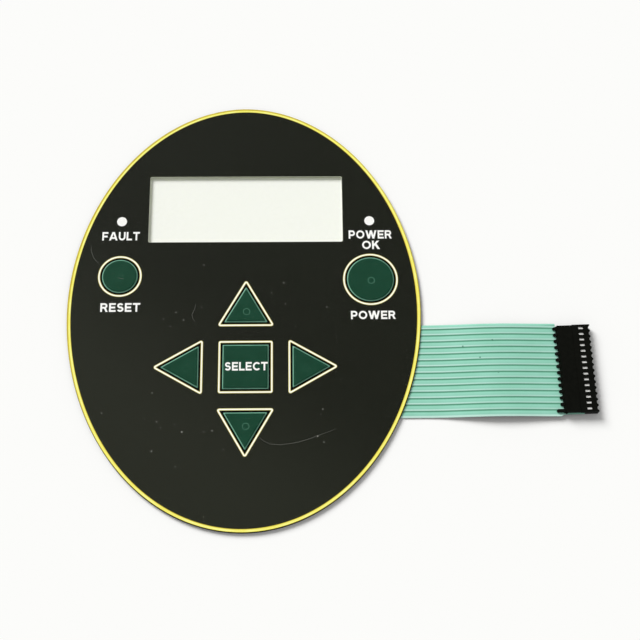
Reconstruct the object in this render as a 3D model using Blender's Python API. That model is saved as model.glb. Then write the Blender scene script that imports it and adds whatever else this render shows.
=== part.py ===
"""Membrane keypad: an oval printed face with seven embossed keys and a display window, on a flex circuit.

Own frame: the origin is the middle of the oval on its rear face, +X points to the side where the tail
leaves, +Y to the top of the legends and +Z out of the front face.  All sizes are in metres.
The layers are stacked from the rear face up, and each one starts where the one below it ends.
"""
import math

import bmesh
import bpy
from mathutils import Matrix, Vector

MM = 0.001

# Oval face: the lower half is an ellipse, and the upper half has slightly leaner shoulders, so its
# fullness, the power in |x/a|^n + |y/b|^n = 1, is a little under 2
FACE_WIDTH = 152.4 * MM
FACE_LENGTH = 193.6 * MM
UPPER_FULLNESS = 1.942
FACE_SIDES = 72

# Straight sides that each kind of round outline is drawn with
KEY_SIDES = 24
HOLE_SIDES = 14
PAD_SIDES = 8
FINE_STEPS = 3
CORNER_STEPS = 2

# Layers, from the rear to the front
LINER_THICKNESS = 0.10 * MM
REAR_ADHESIVE_THICKNESS = 0.13 * MM
CIRCUIT_THICKNESS = 0.18 * MM
TRACK_HEIGHT = 0.040 * MM
BRANCH_HEIGHT = 0.034 * MM
PAD_HEIGHT = 0.046 * MM
RETAINER_THICKNESS = 0.08 * MM
OVERLAY_ADHESIVE_THICKNESS = 0.13 * MM
PRINT_THICKNESS = 0.03 * MM
OVERLAY_THICKNESS = 0.25 * MM
BOND_GAP = 0.01 * MM

# Printed border round the oval
BORDER_WIDTH = 1.6 * MM

# Display window: the print leaves it clear, and the layers behind it stand in by a small step
WINDOW_WIDTH = 85.7 * MM
WINDOW_HEIGHT = 31.8 * MM
WINDOW_X = 0.3 * MM
WINDOW_Y = 46.8 * MM
WINDOW_STEP = 0.15 * MM
WINDOW_RADIUS = 0.8 * MM

# Keys: printed outline, black gap, then the raised green field
OUTLINE_WIDTH = 1.0 * MM
OUTLINE_GAP = 0.95 * MM
BEVEL_WIDTH = 0.7 * MM
KEY_RISE = 0.45 * MM
KEY_CORNER_RADIUS = 0.9 * MM
LEAST_CORNER_RADIUS = 0.25 * MM
POWER_KEY_DIAMETER = 24.0 * MM
POWER_KEY_OFFSET = -0.15 * MM
POWER_KEY_Y = 13.1 * MM
RESET_KEY_DIAMETER = 19.0 * MM
RESET_KEY_OFFSET = 0.15 * MM
RESET_KEY_Y = 15.0 * MM
SELECT_KEY_SIDE = 23.2 * MM
ARROW_KEY_SIDE = 24.9 * MM
KEYPAD_X = 0.7 * MM
KEYPAD_Y = -26.45 * MM
KEYPAD_GAP = 6.6 * MM
ADHESIVE_KEY_CLEARANCE = 0.45 * MM
PRINT_LAP = 0.3 * MM

# Status lights, in the space between the window and the edge of the oval; the round keys stand below them
LIGHT_WINDOW_DIAMETER = 4.35 * MM
LIGHT_OPENING_DIAMETER = 3.7 * MM
LIGHT_OFFSET = -1.0 * MM
LIGHT_CENTRE_X = 0.3 * MM
LIGHT_Y = 40.9 * MM
LIGHT_LENGTH = 1.6 * MM
LIGHT_WIDTH = 0.8 * MM
LIGHT_BASE_HEIGHT = 0.18 * MM
LIGHT_LENS_HEIGHT = 0.27 * MM
LIGHT_LENS_END = 0.24 * MM
LIGHT_LENS_SIDE = 0.06 * MM
LIGHT_LENS_TAPER = 0.12 * MM

# Snap domes: four feet at the corners, trimmed between them, with a small dimple in the middle
DOME_DIAMETER = 10.0 * MM
DOME_HEIGHT = 0.5 * MM
DOME_SHEET = 0.08 * MM
DOME_TRIM = 0.8
DOME_DIMPLE_DIAMETER = 3.0 * MM
DOME_DIMPLE_DEPTH = 0.05 * MM
DOME_HEADROOM = 0.05 * MM
DOME_SIDE_CLEARANCE = 0.5 * MM
CIRCUIT_SHIFT_X = 0.3 * MM
CIRCUIT_SHIFT_Y = -0.7 * MM
VENT_WIDTH = 1.5 * MM
VENT_DEPTH = 0.2 * MM

# Printed conductors on the circuit film
TRACK_WIDTH = 0.9 * MM
CENTRE_PAD_DIAMETER = 3.0 * MM
RING_PAD_WIDTH = 1.6 * MM
RING_PAD_OPENING = math.radians(26.0)
LIGHT_PAD_WIDTH = 0.6 * MM
LIGHT_PAD_LENGTH = 1.2 * MM
TRACK_END_MARGIN = 0.6 * MM
PRINT_BITE = 0.02 * MM

# Routes of the conductors, and the conductor of the tail that each one takes, 1 at the top
TRACK_BEND = 2.7 * MM
LANE_CLEARANCE = 3.0 * MM
LANE_SPACING = 5.0 * MM
COLUMN_SPACING = 3.0 * MM
TRUNK_CLEARANCE = 4.5 * MM
TRUNK_SLANT_Y = -16.0 * MM
RETURN_RUN = 31.0 * MM
SPARE_LENGTH = 8.0 * MM
EDGE_LANE_INSET = 3.5 * MM
EDGE_LANE_PITCH = 2.0 * MM
EDGE_LANE_TURN = math.radians(15.0)
LIGHT_LANE_START = math.radians(24.0)
LIGHT_TRACK_STEP = (1.5 * MM, -3.0 * MM)
CONDUCTOR_OF = {
    "common": 3, "power": 4, "up": 5, "reset": 6, "select": 7, "right": 8, "left": 9, "down": 10, "return": 11
}
LIGHT_CONDUCTORS = {"power": (1, 2), "fault": (15, 14)}
SPARE_CONDUCTORS = (12, 13)

# Flex tail
CONDUCTORS = 15
CONDUCTOR_PITCH = 2.79 * MM
TAIL_MIDDLE_Y = -28.6 * MM
TAIL_UPPER_MARGIN = 2.35 * MM
TAIL_LOWER_MARGIN = 2.45 * MM
TAIL_ROOT_LENGTH = 1.8 * MM
TAIL_REACH = 58.0 * MM
TAIL_ARCH = 1.5 * MM
TAIL_STATIONS = 9
TAIL_NOTCH_INSET = 0.1 * MM
TAIL_NOTCH_OVERHANG = 0.4 * MM
TAIL_NOTCH_RUN = 0.6 * MM
COAT_BASE = 0.04 * MM
RIDGE_HEIGHT = 0.10 * MM
RIDGE_SHOULDER = 0.5 * MM
COAT_EDGE_GAP = 0.15 * MM

# Tail connector, measured from its rear edge along the tail; it sits on the tail with a slight turn
CONNECTOR_SHIFT = 0.05 * MM
CONNECTOR_TURN = math.radians(1.6)
CONNECTOR_LENGTH = 14.5 * MM
CONNECTOR_HEIGHT = 3.6 * MM
CONNECTOR_SIDE_WALL = 0.3 * MM
CONTACT_PITCH = 2.54 * MM
DECK_HEIGHT = 1.5 * MM
COVER_LENGTH = 6.8 * MM
COVER_JOINT = 0.08 * MM
COVER_BACK_SLOPE = 0.7 * MM
COVER_SIDE_STEP = 0.2 * MM
FLEX_CLEARANCE = 0.03 * MM
FLEX_INSERTION = 8.6 * MM
FINGER_LENGTH = 1.4 * MM
END_FINGER_LENGTH = 3.2 * MM
FINGER_WIDTH = 1.35 * MM
FINGER_HEIGHT = 0.9 * MM
FINGER_LIFT = 0.04 * MM
COMB_ROOT = 1.2 * MM
SCALLOP_DEPTH = 0.7 * MM
CUSP_WIDTH = 0.5 * MM
CAVITY_WIDTH = 1.5 * MM
CAVITY_FLOOR = 0.55 * MM
CAVITY_ROOF = 0.35 * MM
SLOT_CENTRE = 10.6 * MM
SLOT_LENGTH = 2.1 * MM
SLOT_WIDTH = 0.95 * MM
CONTACT_WIDTH = 1.1 * MM
CONTACT_SHEET = 0.2 * MM
CONTACT_CLEARANCE = 0.08 * MM
CONTACT_START = 1.3 * MM
CONTACT_ROOT = 0.7 * MM
CONTACT_SETBACK = 1.0 * MM
CONTACT_MOUTH = 0.55 * MM
CONTACT_FLARE = 1.3 * MM
CONTACT_FLEX_GAP = 0.32 * MM
CUT_MARGIN = 1.0 * MM

SPACER_THICKNESS = DOME_HEIGHT + DOME_HEADROOM
COLOUR_INSET = OUTLINE_WIDTH + OUTLINE_GAP
TAIL_TOP = TAIL_MIDDLE_Y + CONDUCTOR_PITCH * (CONDUCTORS / 2 - 1) + TAIL_UPPER_MARGIN
TAIL_BOTTOM = TAIL_MIDDLE_Y - CONDUCTOR_PITCH * (CONDUCTORS / 2 - 1) - TAIL_LOWER_MARGIN
TAIL_FLAT_END = FACE_WIDTH / 2 + TAIL_ROOT_LENGTH
CONNECTOR_REAR = FACE_WIDTH / 2 + TAIL_REACH
CONNECTOR_Y = TAIL_MIDDLE_Y + CONNECTOR_SHIFT
CONNECTOR_WIDTH = CONDUCTORS * CONTACT_PITCH + 2 * CONNECTOR_SIDE_WALL


def stack_levels():
    """Height of the bottom of each layer, with the bond line below it already counted."""
    levels = {}
    height = 0.0
    for name, thickness in (
        ("liner", LINER_THICKNESS),
        ("rear_adhesive", REAR_ADHESIVE_THICKNESS),
        ("circuit", CIRCUIT_THICKNESS + PAD_HEIGHT),
        ("spacer", SPACER_THICKNESS),
        ("retainer", RETAINER_THICKNESS),
        ("overlay_adhesive", OVERLAY_ADHESIVE_THICKNESS),
        ("background", PRINT_THICKNESS),
        ("colour", PRINT_THICKNESS),
        ("overlay", OVERLAY_THICKNESS),
    ):
        levels[name] = height
        height += thickness + BOND_GAP
    return levels


LEVEL = stack_levels()
CIRCUIT_TOP = LEVEL["circuit"] + CIRCUIT_THICKNESS


# Outlines in the plane of the face

def arc(centre, radius, start, end, steps):
    """Points from one angle to another on a circle, both ends included."""
    x, y = centre
    angles = [start + (end - start) * i / steps for i in range(steps + 1)]
    return [(x + radius * math.cos(a), y + radius * math.sin(a)) for a in angles]


def circle(centre, radius, sides=KEY_SIDES):
    return arc(centre, radius, 0.0, 2 * math.pi, sides)[:-1]


def fullness(y):
    """Power of the oval's outline above or below its middle."""
    return UPPER_FULLNESS if y > 0 else 2.0


def oval_point(angle, inset=0.0):
    """Point of the face's outline, drawn in by inset, for an angle about its middle."""
    across, along = math.cos(angle), math.sin(angle)
    power = 2.0 / fullness(along)
    return (
        (FACE_WIDTH / 2 - inset) * math.copysign(abs(across) ** power, across),
        (FACE_LENGTH / 2 - inset) * math.copysign(abs(along) ** power, along),
    )


def oval(inset=0.0, sides=FACE_SIDES):
    """The whole outline of the face, drawn in by inset."""
    return [oval_point(2 * math.pi * i / sides, inset) for i in range(sides)]


def oval_edge_x(y):
    """Where the right-hand edge of the oval lies at a given height."""
    power = fullness(y)
    return FACE_WIDTH / 2 * (1.0 - abs(2 * y / FACE_LENGTH) ** power) ** (1.0 / power)


def rounded(corners, radius, steps=CORNER_STEPS):
    """A convex polygon, counter-clockwise, with each corner turned into an arc."""
    points = []
    count = len(corners)
    for i, corner in enumerate(corners):
        corner = Vector(corner)
        back = (Vector(corners[i - 1]) - corner).normalized()
        ahead = (Vector(corners[(i + 1) % count]) - corner).normalized()
        half = back.angle(ahead) / 2
        centre = corner + (back + ahead).normalized() * (radius / math.sin(half))
        first = corner + back * (radius / math.tan(half)) - centre
        start = math.atan2(first.y, first.x)
        points += arc(centre, radius, start, start + math.pi - 2 * half, steps)
    return points


def rectangle(centre, width, height, radius=0.0):
    x, y = centre
    corners = [
        (x - width / 2, y - height / 2),
        (x + width / 2, y - height / 2),
        (x + width / 2, y + height / 2),
        (x - width / 2, y + height / 2),
    ]
    return rounded(corners, radius) if radius > 0 else corners


def ribbon(points, width):
    """Outline of a strip of even width along a bent line, with mitred corners."""
    line = [Vector(p) for p in points]
    left, right = [], []
    for i, point in enumerate(line):
        back = (point - line[i - 1]).normalized() if i > 0 else None
        ahead = (line[i + 1] - point).normalized() if i < len(line) - 1 else None
        along_in = back or ahead
        along_out = ahead or back
        normal_in = Vector((-along_in.y, along_in.x))
        normal_out = Vector((-along_out.y, along_out.x))
        mitre = (normal_in + normal_out).normalized()
        offset = mitre * (width / 2 / mitre.dot(normal_in))
        left.append(point + offset)
        right.append(point - offset)
    return [(p.x, p.y) for p in right + left[::-1]]


class Key:
    """One printed and embossed key, drawn as a round, a square or an arrow outline."""

    def __init__(self, name, centre, size, heading=None, sides=4, exit_angle=0.0):
        self.name = name
        self.centre = centre
        self.size = size
        self.heading = heading
        self.sides = sides
        self.exit_angle = exit_angle

    def outline(self, inset):
        """The key's outline, drawn in by inset, with the same number of points at every inset."""
        if self.heading is None and self.sides == 0:
            return circle(self.centre, self.size / 2 - inset)
        radius = max(KEY_CORNER_RADIUS - inset, LEAST_CORNER_RADIUS)
        if self.sides == 4:
            side = self.size - 2 * inset
            return rectangle(self.centre, side, side, radius)
        inner_radius = self.size / (2 * math.sqrt(3)) - inset
        corners = [
            (
                self.centre[0] + 2 * inner_radius * math.cos(self.heading + turn),
                self.centre[1] + 2 * inner_radius * math.sin(self.heading + turn),
            )
            for turn in (0.0, 2 * math.pi / 3, 4 * math.pi / 3)
        ]
        return rounded(corners, radius)

    def dome_centre(self):
        return (self.centre[0] + CIRCUIT_SHIFT_X, self.centre[1] + CIRCUIT_SHIFT_Y)


def arrow(name, heading, exit_angle):
    """An arrow key that stands off the square key by the keypad gap."""
    reach = SELECT_KEY_SIDE / 2 + KEYPAD_GAP + ARROW_KEY_SIDE / (2 * math.sqrt(3))
    centre = (KEYPAD_X + reach * math.cos(heading), KEYPAD_Y + reach * math.sin(heading))
    return Key(name, centre, ARROW_KEY_SIDE, heading=heading, sides=3, exit_angle=exit_angle)


RIGHTWARDS, UPWARDS, LEFTWARDS, DOWNWARDS = 0.0, math.pi / 2, math.pi, -math.pi / 2

LIGHT_X = (WINDOW_WIDTH / 2 + oval_edge_x(LIGHT_Y)) / 2 + LIGHT_OFFSET
LIGHTS = {
    "fault": (LIGHT_CENTRE_X - LIGHT_X, LIGHT_Y),
    "power": (LIGHT_CENTRE_X + LIGHT_X, LIGHT_Y),
}
POWER_KEY_X = LIGHTS["power"][0] + POWER_KEY_OFFSET
RESET_KEY_X = LIGHTS["fault"][0] + RESET_KEY_OFFSET
KEYS = [
    Key("power", (POWER_KEY_X, POWER_KEY_Y), POWER_KEY_DIAMETER, sides=0, exit_angle=DOWNWARDS),
    Key("reset", (RESET_KEY_X, RESET_KEY_Y), RESET_KEY_DIAMETER, sides=0, exit_angle=DOWNWARDS),
    Key("select", (KEYPAD_X, KEYPAD_Y), SELECT_KEY_SIDE, exit_angle=UPWARDS),
    arrow("up", UPWARDS, RIGHTWARDS),
    arrow("down", DOWNWARDS, RIGHTWARDS),
    arrow("left", LEFTWARDS, DOWNWARDS),
    arrow("right", RIGHTWARDS, RIGHTWARDS),
]
KEY = {key.name: key for key in KEYS}


# Materials

def material(name, colour, roughness, metallic=0.0, alpha=1.0):
    """A plain Principled material; colour is sRGB hex, turned linear here."""
    channels = [int(colour[i:i + 2], 16) / 255 for i in (1, 3, 5)]
    linear = [c / 12.92 if c <= 0.04045 else ((c + 0.055) / 1.055) ** 2.4 for c in channels]
    made = bpy.data.materials.new(name)
    made.use_nodes = True
    shader = made.node_tree.nodes["Principled BSDF"]
    shader.inputs["Base Color"].default_value = (*linear, 1.0)
    shader.inputs["Roughness"].default_value = roughness
    shader.inputs["Metallic"].default_value = metallic
    shader.inputs["Alpha"].default_value = alpha
    made.diffuse_color = (*linear, alpha)
    return made


# Mesh building

def add_loop(bm, points, height):
    """A closed loop of vertices and edges at one height."""
    verts = [bm.verts.new((x, y, height)) for x, y in points]
    edges = [bm.edges.new((verts[i - 1], verts[i])) for i in range(len(verts))]
    return verts, edges


def fill_upwards(bm, edges):
    """Fill the region between closed loops with faces that look up."""
    made = bmesh.ops.triangle_fill(bm, use_beauty=True, use_dissolve=False, edges=edges)
    faces = [item for item in made["geom"] if isinstance(item, bmesh.types.BMFace)]
    bmesh.ops.recalc_face_normals(bm, faces=faces)
    for face in faces:
        face.normal_update()
    if sum(face.normal.z * face.calc_area() for face in faces) < 0:
        bmesh.ops.reverse_faces(bm, faces=faces)
    return faces


def close_downwards(bm, drop):
    """Turn an open surface that looks up into a solid: walls down its rims and a copy below it."""
    upper_faces = bm.faces[:]
    rims = [edge.link_loops[0] for edge in bm.edges if len(edge.link_faces) == 1]
    walls = [(loop.vert, loop.link_loop_next.vert) for loop in rims]
    lower = {vert: bm.verts.new(vert.co - Vector((0, 0, drop))) for vert in bm.verts[:]}
    for face in upper_faces:
        bm.faces.new([lower[vert] for vert in reversed(face.verts[:])])
    for start, end in walls:
        bm.faces.new((start, lower[start], lower[end], end))


def add_object(name, bm, finish=None, smooth_angle=None):
    """Turn a bmesh into a named object in the scene."""
    mesh = bpy.data.meshes.new(name)
    bm.to_mesh(mesh)
    bm.free()
    if finish is not None:
        mesh.materials.append(finish)
    if smooth_angle is not None:
        mesh.shade_smooth()
        mesh.set_sharp_from_angle(angle=math.radians(smooth_angle))
    made = bpy.data.objects.new(name, mesh)
    bpy.context.collection.objects.link(made)
    return made


def plate(name, loops, bottom, thickness, finish=None):
    """A flat layer: the first loop is its outline, and the others are its holes."""
    bm = bmesh.new()
    edges = []
    for points in loops:
        edges += add_loop(bm, points, bottom + thickness)[1]
    fill_upwards(bm, edges)
    close_downwards(bm, thickness)
    return add_object(name, bm, finish)


def side_prism(name, profile, low_y, high_y, finish=None):
    """A solid with one profile in X and Z, carried along Y."""
    bm = bmesh.new()
    near = [bm.verts.new((x, low_y, z)) for x, z in profile]
    far = [bm.verts.new((x, high_y, z)) for x, z in profile]
    bm.faces.new(near)
    bm.faces.new(far[::-1])
    for i in range(len(profile)):
        bm.faces.new((near[i - 1], far[i - 1], far[i], near[i]))
    bmesh.ops.recalc_face_normals(bm, faces=bm.faces[:])
    return add_object(name, bm, finish)


def boxes(name, spans):
    """Several separate boxes in one mesh, each given as its low and high corner."""
    bm = bmesh.new()
    for low, high in spans:
        made = bmesh.ops.create_cube(bm, size=1.0)
        for vert in made["verts"]:
            vert.co = Vector([low[i] + (high[i] - low[i]) * (vert.co[i] + 0.5) for i in range(3)])
    return add_object(name, bm)


def combine(target, operation, tools, join_tools=False):
    """Cut the tools from the target, or add them to it, and take the tools away."""
    group = bpy.data.collections.new(target.name + "_tools")
    for tool in tools:
        group.objects.link(tool)
        tool.hide_render = True
        tool.display_type = "WIRE"
    modifier = target.modifiers.new(operation.lower(), "BOOLEAN")
    modifier.operation = operation
    modifier.solver = "EXACT"
    modifier.operand_type = "COLLECTION"
    modifier.collection = group
    modifier.use_self = join_tools
    bpy.context.view_layer.update()
    evaluated = target.evaluated_get(bpy.context.evaluated_depsgraph_get())
    result = bpy.data.meshes.new_from_object(evaluated)
    target.modifiers.remove(modifier)
    old = target.data
    target.data = result
    bpy.data.meshes.remove(old)
    result.name = target.name
    for tool in tools:
        bpy.data.objects.remove(tool)
    bpy.data.collections.remove(group)


# Openings shared by the inner layers

def window_opening(step=0.0):
    return rectangle(
        (WINDOW_X, WINDOW_Y), WINDOW_WIDTH - 2 * step, WINDOW_HEIGHT - 2 * step, WINDOW_RADIUS
    )


def light_openings():
    return [circle(place, LIGHT_OPENING_DIAMETER / 2, HOLE_SIDES) for place in LIGHTS.values()]


# Rear layers

def build_rear_layers(paper, adhesive):
    opening = window_opening(WINDOW_STEP)
    plate("release_liner", [oval(), opening], LEVEL["liner"], LINER_THICKNESS, paper)
    plate(
        "rear_adhesive", [oval(), opening], LEVEL["rear_adhesive"], REAR_ADHESIVE_THICKNESS, adhesive
    )


# Flex circuit with its tail

def tail_height(x):
    """Height of the top of the tail's film: flat, one long arch, then level into the connector."""
    entry = DECK_HEIGHT + FLEX_CLEARANCE + CIRCUIT_THICKNESS
    share = (x - TAIL_FLAT_END) / (CONNECTOR_REAR - TAIL_FLAT_END)
    if share <= 0:
        return CIRCUIT_TOP
    if share >= 1:
        return entry
    climb = share * share * (3 - 2 * share)
    return CIRCUIT_TOP + (entry - CIRCUIT_TOP) * climb + TAIL_ARCH * math.sin(math.pi * share) ** 2


def tail_stations():
    """Places along the tail, from the end of its flat root to its tip in the connector."""
    run = CONNECTOR_REAR - TAIL_FLAT_END
    places = [TAIL_FLAT_END + run * i / TAIL_STATIONS for i in range(TAIL_STATIONS)]
    return places + [CONNECTOR_REAR - TAIL_NOTCH_RUN, CONNECTOR_REAR, CONNECTOR_REAR + FLEX_INSERTION]


def notched(y):
    """A place across the tail, with the margins outside the grooves cut back at the connector's sides."""
    grooves = groove_places()
    half = CONNECTOR_WIDTH / 2
    if y > grooves[0]:
        groove, edge, side = grooves[0], TAIL_TOP, CONNECTOR_Y + half - TAIL_NOTCH_INSET
    elif y < grooves[-1]:
        groove, edge, side = grooves[-1], TAIL_BOTTOM, CONNECTOR_Y - half - TAIL_NOTCH_OVERHANG
    else:
        return y
    return groove + (y - groove) * (side - groove) / (edge - groove)


def turned(x, y):
    """A place in the connector, turned with it about its middle; places before its rear edge stay."""
    if x < CONNECTOR_REAR - BOND_GAP:
        return x, y
    y = notched(y)
    along, across = x - CONNECTOR_REAR - CONNECTOR_LENGTH / 2, y - CONNECTOR_Y
    cosine, sine = math.cos(CONNECTOR_TURN), math.sin(CONNECTOR_TURN)
    return (
        CONNECTOR_REAR + CONNECTOR_LENGTH / 2 + along * cosine - across * sine,
        CONNECTOR_Y + along * sine + across * cosine,
    )


def groove_places():
    """The lines between neighbouring conductors, from the top of the tail to the bottom."""
    first = TAIL_MIDDLE_Y + CONDUCTOR_PITCH * (CONDUCTORS - 2) / 2
    return [first - CONDUCTOR_PITCH * i for i in range(CONDUCTORS - 1)]


def conductor_y(number):
    """Middle of a conductor on the tail, counted from 1 at the top."""
    return groove_places()[0] + CONDUCTOR_PITCH * (1.5 - number)


def film_outline():
    """The oval with the root of the tail, counter-clockwise from the tail's upper edge."""
    start = math.asin(TAIL_TOP / (FACE_LENGTH / 2))
    end = 2 * math.pi + math.asin(TAIL_BOTTOM / (FACE_LENGTH / 2))
    points = []
    for i in range(FACE_SIDES + 1):
        points.append(oval_point(start + (end - start) * i / FACE_SIDES))
    return points + [(TAIL_FLAT_END, TAIL_BOTTOM), (TAIL_FLAT_END, TAIL_TOP)]


def build_circuit_film(polyester):
    bm = bmesh.new()
    verts, edges = add_loop(bm, film_outline(), CIRCUIT_TOP)
    edges += add_loop(bm, window_opening(WINDOW_STEP), CIRCUIT_TOP)[1]
    fill_upwards(bm, edges)
    low, high = verts[-2], verts[-1]
    for x in tail_stations()[1:]:
        next_low = bm.verts.new((*turned(x, TAIL_BOTTOM), tail_height(x)))
        next_high = bm.verts.new((*turned(x, TAIL_TOP), tail_height(x)))
        bm.faces.new((low, next_low, next_high, high))
        low, high = next_low, next_high
    close_downwards(bm, CIRCUIT_THICKNESS)
    film = add_object("circuit_film", bm, polyester)
    combine(film, "UNION", printed_conductors(), join_tools=True)


def build_tail_coat(coat):
    """Green coat over the tail: a thin web with one rounded ridge over each conductor."""
    bounds = [TAIL_TOP] + groove_places() + [TAIL_BOTTOM]
    columns = []
    for upper, lower in zip(bounds, bounds[1:]):
        columns += [(upper, 0.0), (upper - RIDGE_SHOULDER, 1.0), (lower + RIDGE_SHOULDER, 1.0)]
    columns.append((bounds[-1], 0.0))
    top_of_film = [(None, CIRCUIT_TOP)] + [(x, tail_height(x)) for x in tail_stations()]

    bm = bmesh.new()
    rows, floor = [], []
    for x, height in top_of_film:
        floor_height = height + BOND_GAP
        used = columns if x is None else (columns[0], columns[-1])

        def place(y):
            return (oval_edge_x(y) + COAT_EDGE_GAP, y) if x is None else turned(x, y)

        rows.append([
            bm.verts.new((*place(y), floor_height + COAT_BASE + RIDGE_HEIGHT * rise)) for y, rise in columns
        ])
        floor.append([bm.verts.new((*place(y), floor_height)) for y, _ in used])
    for near, far in zip(rows, rows[1:]):
        for i in range(len(columns) - 1):
            bm.faces.new((near[i], near[i + 1], far[i + 1], far[i]))
    for i in range(len(columns) - 1):
        bm.faces.new((floor[0][i], floor[0][i + 1], rows[0][i + 1], rows[0][i]))
    bm.faces.new(floor[0] + floor[1][::-1])
    for near, far in zip(floor[1:], floor[2:]):
        bm.faces.new((near[0], near[1], far[1], far[0]))
    for i in range(len(rows) - 1):
        for side in (0, -1):
            bm.faces.new((floor[i][side], floor[i + 1][side], rows[i + 1][side], rows[i][side]))
    bm.faces.new(rows[-1] + floor[-1][::-1])
    bmesh.ops.recalc_face_normals(bm, faces=bm.faces[:])
    add_object("tail_cover_coat", bm, coat)


# Printed conductors

def bent(corners):
    """A route through the given corners, with every right-angled one cut off at 45 degrees."""
    line = [Vector(corner) for corner in corners]
    route = [line[0]]
    for before, corner, after in zip(line, line[1:], line[2:]):
        back, ahead = before - corner, after - corner
        if abs(back.normalized().dot(ahead.normalized())) > 0.1:
            route.append(corner)
            continue
        cut = min(TRACK_BEND, back.length / 2, ahead.length / 2)
        route += [corner + back.normalized() * cut, corner + ahead.normalized() * cut]
    return route + [line[-1]]


def edge_lane(lane, start_angle, number):
    """A route that follows the oval's edge from an angle down to one conductor of the tail."""
    inset = EDGE_LANE_INSET + lane * EDGE_LANE_PITCH
    end = math.asin(conductor_y(number) / (FACE_LENGTH / 2 - inset))
    if start_angle > math.pi / 2:
        end += 2 * math.pi
    steps = max(3, int(abs(end - start_angle) / EDGE_LANE_TURN))
    return [oval_point(start_angle + (end - start_angle) * i / steps, inset) for i in range(steps + 1)]


def tail_landing(number):
    """Where a conductor meets the edge of the face, on its own line of the tail."""
    y = conductor_y(number)
    return (oval_edge_x(y) - TRACK_END_MARGIN, y)


def slant(x, y, number):
    """From a point on a level run, 45 degrees up or down to a conductor's line and along it."""
    end_y = conductor_y(number)
    return [(x, y), (x + abs(end_y - y), end_y), tail_landing(number)]


def key_routes():
    """Each key's own conductor, from the middle of its dome to the tail, clear of the others."""
    spot = {name: key.dome_centre() for name, key in KEY.items()}
    ring = DOME_DIAMETER / 2 + RING_PAD_WIDTH
    upper_lane = spot["up"][1] - ring - LANE_CLEARANCE
    middle_lane = upper_lane - LANE_SPACING
    lower_lane = spot["left"][1] - ring - LANE_CLEARANCE
    column = [spot["power"][0] + COLUMN_SPACING * (i - 4) for i in range(4)]
    number = CONDUCTOR_OF

    def by_column(place, lane, conductor):
        x = column[place]
        return [(x, lane), (x, conductor_y(conductor)), tail_landing(conductor)]

    return {
        "power": [
            spot["power"], (spot["power"][0], conductor_y(number["power"])), tail_landing(number["power"])
        ],
        "up": [spot["up"]] + by_column(3, spot["up"][1], number["up"]),
        "reset": [spot["reset"], (spot["reset"][0], upper_lane)]
        + by_column(2, upper_lane, number["reset"]),
        "select": [spot["select"], (spot["select"][0], middle_lane)]
        + by_column(1, middle_lane, number["select"]),
        "right": [spot["right"]]
        + slant(column[0] - COLUMN_SPACING, spot["right"][1], number["right"]),
        "left": [spot["left"], (spot["left"][0], lower_lane)]
        + slant(column[0] - 3 * COLUMN_SPACING, lower_lane, number["left"]),
        "down": [spot["down"]]
        + slant(column[0] - 5 * COLUMN_SPACING, spot["down"][1], number["down"]),
    }


def common_routes():
    """The shared conductor: a trunk from the tail past the domes, and its branches to their rings."""
    spot = {name: key.dome_centre() for name, key in KEY.items()}
    ring = DOME_DIAMETER / 2 + RING_PAD_WIDTH / 2
    entry_y = conductor_y(CONDUCTOR_OF["common"])
    top_lane = WINDOW_Y - WINDOW_HEIGHT / 2 - TRUNK_CLEARANCE
    right_lane = spot["power"][0] + ring + TRUNK_CLEARANCE
    left_lane = spot["reset"][0] - ring - TRUNK_CLEARANCE
    down_x, down_y = spot["down"]
    left_x, left_y = spot["left"]
    trunk = [
        tail_landing(CONDUCTOR_OF["common"]),
        (right_lane, entry_y),
        (right_lane, top_lane),
        (left_lane, top_lane),
        (left_lane, TRUNK_SLANT_Y),
        (left_lane + TRUNK_SLANT_Y - down_y, down_y),
        (down_x - ring, down_y),
    ]
    branches = [
        [(spot[name][0], top_lane), (spot[name][0], spot[name][1] + ring)]
        for name in ("power", "reset", "up")
    ]
    branches += [
        [(left_lane + TRUNK_SLANT_Y - left_y, left_y), (left_x - ring, left_y)],
        [(left_x + ring, left_y), (spot["select"][0] - ring, left_y)],
        [(spot["select"][0] + ring, left_y), (spot["right"][0] - ring, left_y)],
    ]
    return_lane = down_y - ring - LANE_SPACING
    branches.append(
        [(down_x, down_y - ring), (down_x, return_lane)]
        + slant(down_x + RETURN_RUN, return_lane, CONDUCTOR_OF["return"])
    )
    return trunk, branches


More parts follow.
